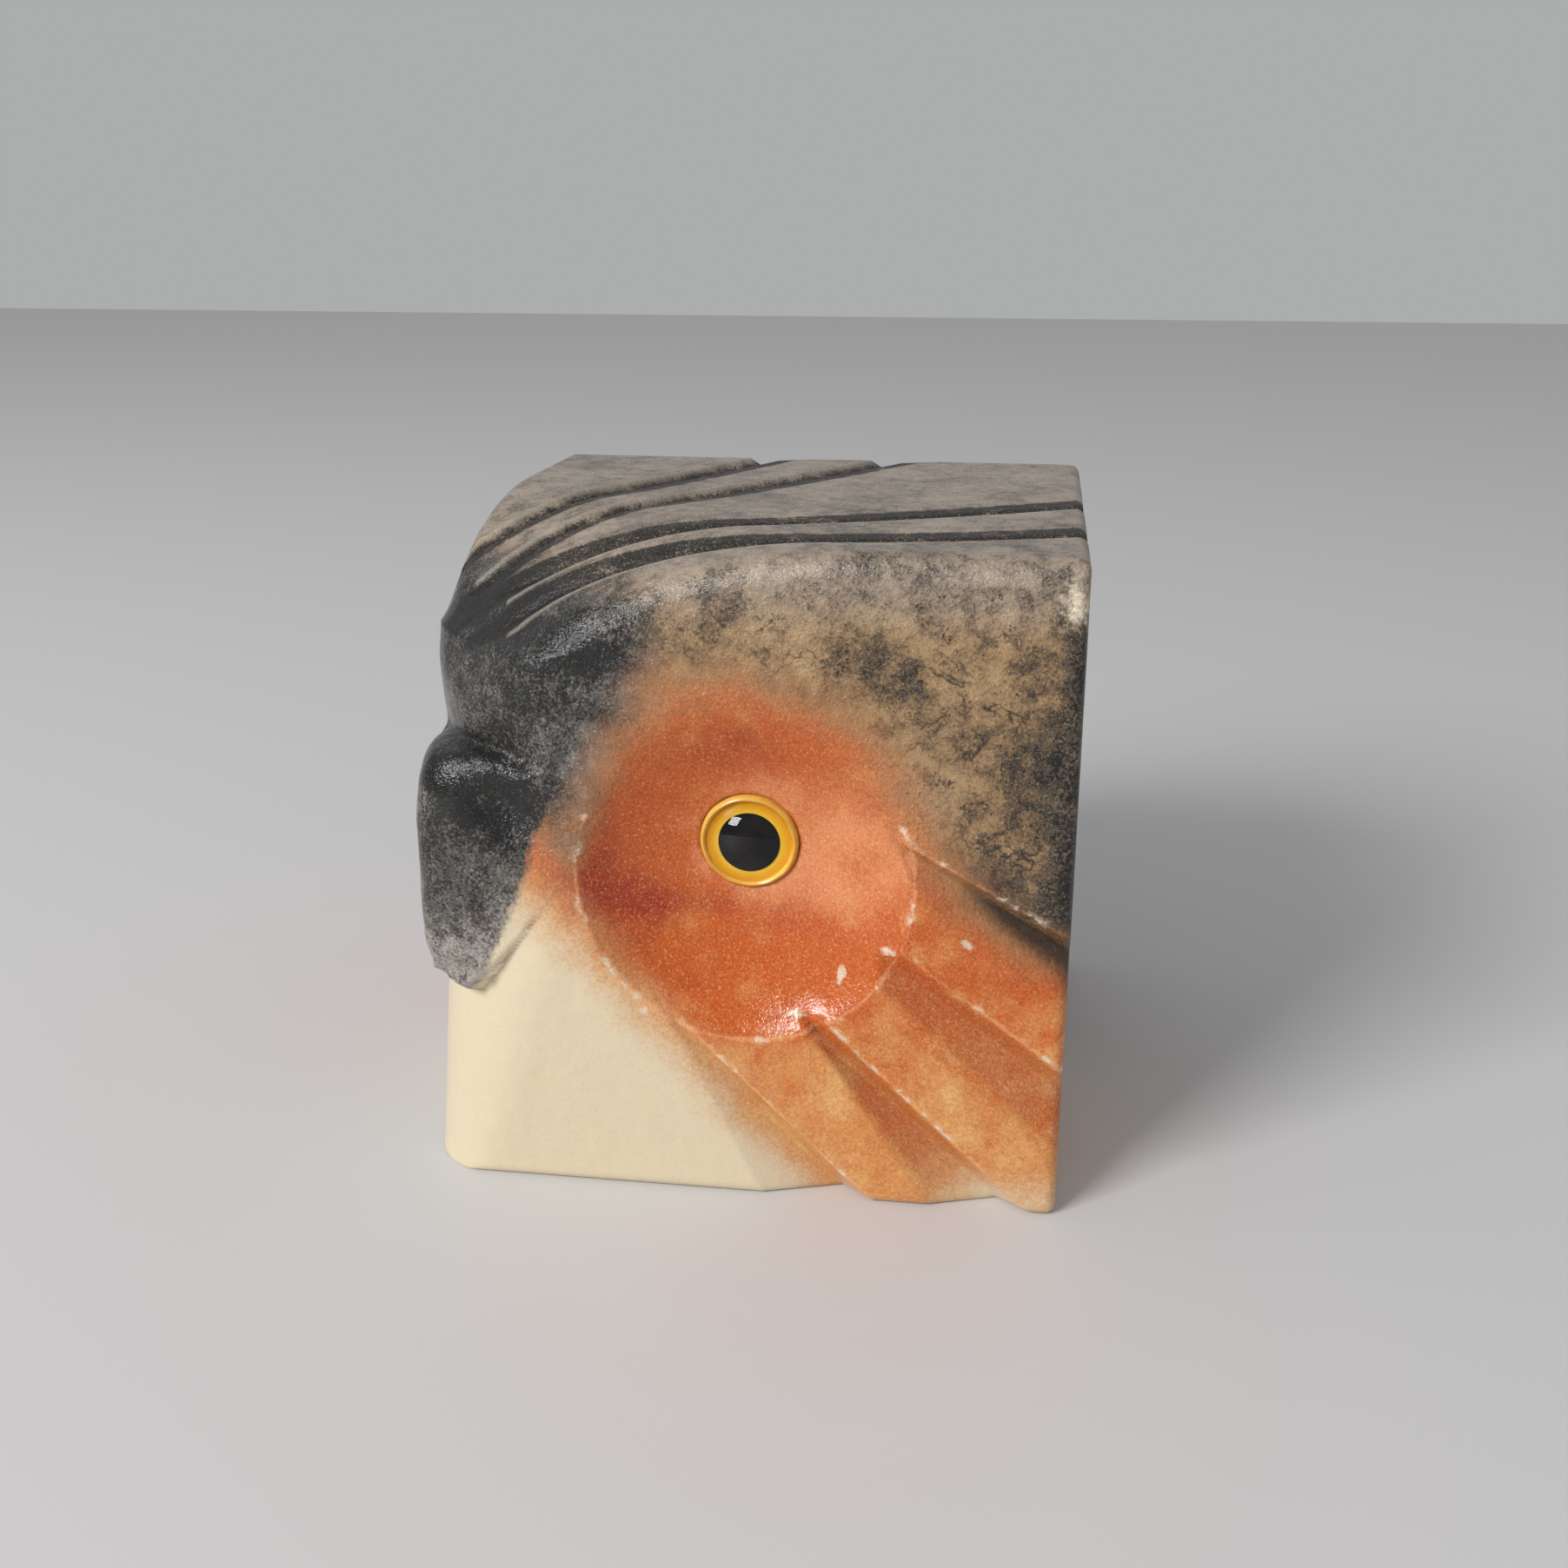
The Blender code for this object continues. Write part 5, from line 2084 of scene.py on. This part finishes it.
@dataclass(frozen=True)
class EyeFinish:
    """The finishes of a glass eye: clear dome, amber iris, black pupil and resin rim."""

    effects: SharedEffects
    amber: Tone = (216, 148, 34)
    yellow: Tone = (226, 184, 52)
    honey: Tone = (190, 116, 26)
    resin: Tone = (224, 178, 84)
    pupil_black: Tone = (4, 4, 4)
    dust_grey: Tone = (150, 140, 130)
    glass_ior: float = 1.42
    glass_roughness: float = 0.015
    glass_dust: Grain = Grain(3 * MM, 0.01, 2.0)
    iris_ripple: Grain = Grain(2.5 * MM, 0.06)
    amber_span: Pair = (0.45, 0.75)
    line_start: Pair = (0.80, 0.87)
    line_end: Pair = (0.88, 0.96)
    line_share: float = 0.7
    iris_roughness: float = 0.30
    film_share: float = 0.03
    pupil_roughness: float = 0.25
    resin_clouds: float = 0.6
    resin_roughness: float = 0.22
    resin_grain: Grain = Grain(1.5 * MM, 0.08)
    resin_translucency: float = 0.3
    resin_light_reach: Triple = (1.0, 0.6, 0.3)
    resin_light_depth: float = 1.0 * MM

    def glass(self) -> Material:
        """Clear glass with a little dust on it.

        Returns:
            The material.
        """
        material, sketch, shader = new_material("clear glass")
        rough = sketch.total(self.glass_roughness, sketch.wander(self.glass_dust))
        sketch.dress(shader, {"Transmission Weight": 1.0, "IOR": self.glass_ior,
                              "Roughness": rough})
        return material

    def iris(self) -> Material:
        """Amber glaze: yellow inside, honey at its outer line.

        Returns:
            The material.
        """
        material, sketch, shader = new_material("amber glaze")
        ring = sketch.total(sketch.attribute("ring"), sketch.wander(self.iris_ripple))
        colour = sketch.tint(srgb(*self.yellow), self.amber, sketch.step(ring, *self.amber_span))
        inside = sketch.math("SUBTRACT", 1.0, sketch.step(ring, *self.line_end))
        line = sketch.times(sketch.step(ring, *self.line_start), inside)
        colour = sketch.tint(colour, self.honey, sketch.times(line, self.line_share))
        sketch.dress(shader, {"Base Color": colour, "Roughness": self.iris_roughness,
                              "Specular IOR Level": 0.0})
        return material

    def pupil(self) -> Material:
        """Black glaze with a faint film of dust.

        Returns:
            The material.
        """
        material, sketch, shader = new_material("black glaze")
        film = sketch.group(self.effects.clouds, scale=260.0, detail=2.0, level=0.55,
                            softness=0.25)
        colour = sketch.tint(srgb(*self.pupil_black), self.dust_grey,
                             sketch.times(film, self.film_share))
        sketch.dress(shader, {"Base Color": colour, "Roughness": self.pupil_roughness,
                              "Specular IOR Level": 0.0})
        return material

    def rim(self) -> Material:
        """Honey-coloured resin that holds the eye.

        Returns:
            The material.
        """
        material, sketch, shader = new_material("resin rim")
        clouds = sketch.group(self.effects.clouds, scale=350.0, detail=4.0, level=0.5,
                              softness=0.15, warp=0.3)
        colour = sketch.tint(srgb(*self.resin), self.amber,
                             sketch.times(clouds, self.resin_clouds))
        rough = sketch.total(self.resin_roughness, sketch.wander(self.resin_grain))
        sketch.dress(shader, {
            "Base Color": colour, "Roughness": rough,
            "Subsurface Weight": self.resin_translucency,
            "Subsurface Radius": self.resin_light_reach,
            "Subsurface Scale": self.resin_light_depth})
        return material


@dataclass(frozen=True)
class GlassEye:
    """One glass eye: a resin rim, an iris and a pupil under a clear dome."""

    face: Face
    cheek: CheekCarving
    radius: float = 9 * MM
    seat_depth: float = 2.5 * MM
    shoulder: float = 1.0 * MM
    dome_height: float = 4.8 * MM
    rim_width: float = 1.2 * MM
    rim_height: float = 1.7 * MM
    iris_height: float = 0.3 * MM
    pupil_radius: float = 4.7 * MM
    gap: float = 0.12 * MM
    segments: int = 96
    rings: int = 20
    sharp_angle: float = 50.0
    lump_size: float = 3 * MM
    rim_ripple: float = 0.25 * MM

    def placement(self) -> Matrix:
        """Where the eye stands: on its dish's bowl, facing the bowl's centre.

        Returns:
            The matrix.
        """
        cheek = self.cheek
        centre = cheek.centre()
        stand_off = math.sqrt(cheek.bowl_radius ** 2 - cheek.dish_radius ** 2)
        ball = Vector((centre[0], -stand_off, centre[1]))
        back = math.sqrt(cheek.bowl_radius ** 2 - cheek.eye_above ** 2)
        seat = ball + Vector((0.0, back, cheek.eye_above))
        turn = (ball - seat).normalized().to_track_quat("Z", "Y").to_matrix().to_4x4()
        half = cheek.block.side / 2
        swap = Matrix(((0, 1, 0, 0), (1, 0, 0, 0), (0, 0, 1, 0), (0, 0, 0, 1)))
        mirror = swap if self.face is Face.LEFT else Matrix.Identity(4)
        return Matrix.Translation((-half, -half, 0.0)) @ mirror @ Matrix.Translation(seat) @ turn

    def turned(self, name: str, outline: list[Pair], ripple: float = 0.0) -> Item:
        """Turn a half outline round the eye's axis.

        Args:
            name: The piece's name, without its side.
            outline: Points as (distance from the axis, height over the seat).
            ripple: How far the outline wanders from round.

        Returns:
            The piece, with its place in its mesh and a ring attribute from 0 at the axis
            to 1 at the eye's outer edge.
        """
        maker = bmesh.new()
        verts = [maker.verts.new((x, 0.0, z)) for x, z in outline]
        edges = [maker.edges.new(pair) for pair in zip(verts, verts[1:])]
        if outline[0][0] > 0.0:
            edges.append(maker.edges.new((verts[-1], verts[0])))
        bmesh.ops.spin(maker, geom=verts + edges, cent=(0.0, 0.0, 0.0), axis=(0.0, 0.0, 1.0),
                       angle=math.radians(360.0), steps=self.segments, use_merge=True)
        bmesh.ops.remove_doubles(maker, verts=maker.verts, dist=0.01 * MM)
        ring = maker.verts.layers.float.new("ring")
        for vert in maker.verts:
            vert[ring] = math.hypot(vert.co.x, vert.co.y) / self.radius
            if ripple:
                lump = noise.noise(Vector((vert.co.x, vert.co.y, 0.0)) / self.lump_size)
                shrink = 1.0 - ripple * (0.5 + 0.5 * lump) / self.radius
                vert.co.x *= shrink
                vert.co.y *= shrink
        bmesh.ops.transform(maker, matrix=self.placement(), verts=maker.verts)
        bmesh.ops.recalc_face_normals(maker, faces=maker.faces)
        mesh = bpy.data.meshes.new(f"{self.face.value}_{name}")
        maker.to_mesh(mesh)
        maker.free()
        mesh.shade_smooth()
        mesh.set_sharp_from_angle(angle=math.radians(self.sharp_angle))
        item = bpy.data.objects.new(mesh.name, mesh)
        bpy.context.scene.collection.objects.link(item)
        return item

    def quarter(self, radius: float, foot: float, rise: float) -> list[Pair]:
        """Half outline of a dome, from its top to its foot."""
        angles = [math.radians(90.0 * i / self.rings) for i in range(self.rings + 1)]
        return [(radius * math.sin(a), foot + rise * math.cos(a)) for a in angles]

    def build(self, finish: EyeFinish) -> list[Item]:
        """Build and dress the eye's four pieces.

        Args:
            finish: The finishes of glass eyes.

        Returns:
            The dome, the rim, the iris and the pupil.
        """
        inner = self.radius - self.rim_width
        top = self.shoulder + self.dome_height
        foot = -self.seat_depth
        dome_outline = self.quarter(inner - self.gap, self.shoulder, top - self.shoulder)
        dome_outline += [(inner - self.gap, foot), (0.0, foot)]
        dome = self.turned("dome", dome_outline)
        rim_middle = self.radius - 0.5 * self.rim_width
        brim = self.rim_height
        rim_outline = [
            (inner, foot), (self.radius, foot), (self.radius, brim - 0.7 * MM),
            (self.radius - 0.2 * MM, brim - 0.25 * MM), (rim_middle, brim),
            (inner + 0.15 * MM, brim - 0.2 * MM), (inner, brim - 0.6 * MM)]
        rim = self.turned("rim", rim_outline, ripple=self.rim_ripple)
        edge = inner - 3.0 * self.gap
        iris = self.turned("iris", [(0.0, self.iris_height), (edge, self.iris_height),
                                    (edge, 0.0), (0.0, 0.0)])
        pupil_top, pupil_foot = self.iris_height + self.gap, self.iris_height - self.gap
        pupil = self.turned("pupil", [(0.0, pupil_top), (self.pupil_radius, pupil_top),
                                      (self.pupil_radius, pupil_foot), (0.0, pupil_foot)])
        dome.data.materials.append(finish.glass())
        rim.data.materials.append(finish.rim())
        iris.data.materials.append(finish.iris())
        pupil.data.materials.append(finish.pupil())
        dome.visible_shadow = False
        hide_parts(self.face.value)
        return [dome, rim, iris, pupil]


@dataclass(frozen=True)
class Camera:
    """The photograph's camera: its focal length in pixels, place and turns."""

    block: Block
    image_width: float = 1804.0
    focal: float = 2007.0
    pitch: float = 17.93
    yaw: float = -8.05
    roll: float = -0.16
    place: Triple = (108.4 * MM, -280.4 * MM, 171.8 * MM)
    sensor: float = 36.0
    clip_start: float = 10 * MM

    def build(self) -> Item:
        """Make the camera and use it for the scene.

        Returns:
            The camera.
        """
        data = bpy.data.cameras.new("photo_camera")
        data.sensor_width = self.sensor
        data.lens = self.focal / self.image_width * self.sensor
        data.clip_start = self.clip_start
        item = bpy.data.objects.new("photo_camera", data)
        item.matrix_world = self.matrix()
        bpy.context.scene.collection.objects.link(item)
        bpy.context.scene.camera = item
        return item

    def matrix(self) -> Matrix:
        """The camera's place and turn in the world.

        Returns:
            The matrix.
        """
        pitch, yaw, roll = (math.radians(angle) for angle in (self.pitch, self.yaw, self.roll))
        ahead = Vector((math.sin(yaw) * math.cos(pitch), math.cos(yaw) * math.cos(pitch),
                        -math.sin(pitch)))
        right = Vector((math.cos(yaw), -math.sin(yaw), 0.0))
        down = ahead.cross(right)
        turned_right = math.cos(roll) * right + math.sin(roll) * down
        turned_down = -math.sin(roll) * right + math.cos(roll) * down
        matrix = Matrix((turned_right, -turned_down, -ahead)).transposed().to_4x4()
        half = self.block.side / 2
        matrix.translation = Vector(self.place) - Vector((half, half, 0.0))
        return matrix


@dataclass(frozen=True)
class Studio:
    """Floor, soft key light and grey surroundings."""

    floor_size: float = 6.0
    key_direction: Triple = (-0.529, -0.677, 0.512)
    key_distance: float = 2.2
    key_size: float = 0.85
    key_power: float = 42.0
    key_aim: Triple = (0.0, 0.0, 0.06)
    floor_colour: tuple[float, float, float, float] = (0.66, 0.65, 0.65, 1.0)
    floor_roughness: float = 0.55
    sky: tuple[float, float, float, float] = (0.98, 0.99, 1.0, 1.0)
    sky_strength: float = 0.42

    def build(self) -> None:
        """Make the floor, the light and the world."""
        maker = bmesh.new()
        bmesh.ops.create_grid(maker, x_segments=1, y_segments=1, size=self.floor_size / 2)
        mesh = bpy.data.meshes.new("floor")
        maker.to_mesh(mesh)
        maker.free()
        floor = bpy.data.objects.new("floor", mesh)
        material, sketch, shader = new_material("pale floor")
        sketch.dress(shader, {"Base Color": self.floor_colour,
                              "Roughness": self.floor_roughness})
        floor.data.materials.append(material)
        bpy.context.scene.collection.objects.link(floor)
        light = bpy.data.lights.new("window", "AREA")
        light.shape = "SQUARE"
        light.size = self.key_size
        light.energy = self.key_power
        lamp = bpy.data.objects.new("window", light)
        direction = Vector(self.key_direction)
        lamp.location = direction * self.key_distance + Vector(self.key_aim)
        lamp.rotation_euler = direction.to_track_quat("Z", "Y").to_euler()
        bpy.context.scene.collection.objects.link(lamp)
        world = bpy.data.worlds.new("studio")
        world.use_nodes = True
        back = world.node_tree.nodes["Background"]
        back.inputs["Color"].default_value = self.sky
        back.inputs["Strength"].default_value = self.sky_strength
        bpy.context.scene.world = world


def main() -> None:
    """Build the pieces in order and report each one."""
    logging.basicConfig(level=logging.INFO, format="%(name)s %(message)s")
    block = Block.from_frame("stone_head")
    Camera(block).build()
    Studio().build()
    bpy.context.scene.view_settings.view_transform = "Standard"
    effects = SharedEffects.build()
    form = BaseForm(block)
    cheek = CheekCarving(block)
    head = HeadSkin(block, form, cheek, CrownCarving(block))
    skin = head.build()
    head.paint(skin.data, StoneBands(block, form, cheek))
    skin.data.materials.append(StoneFinish(effects).build())
    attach(skin, "root")
    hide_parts("stone_head")
    LOG.info("%s has %d triangles", skin.name, triangle_count(skin))
    finish = EyeFinish(effects)
    for face in Face:
        for piece in GlassEye(face, cheek).build(finish):
            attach(piece, "root")
            LOG.info("%s has %d triangles", piece.name, triangle_count(piece))


if __name__ == "__main__":
    main()
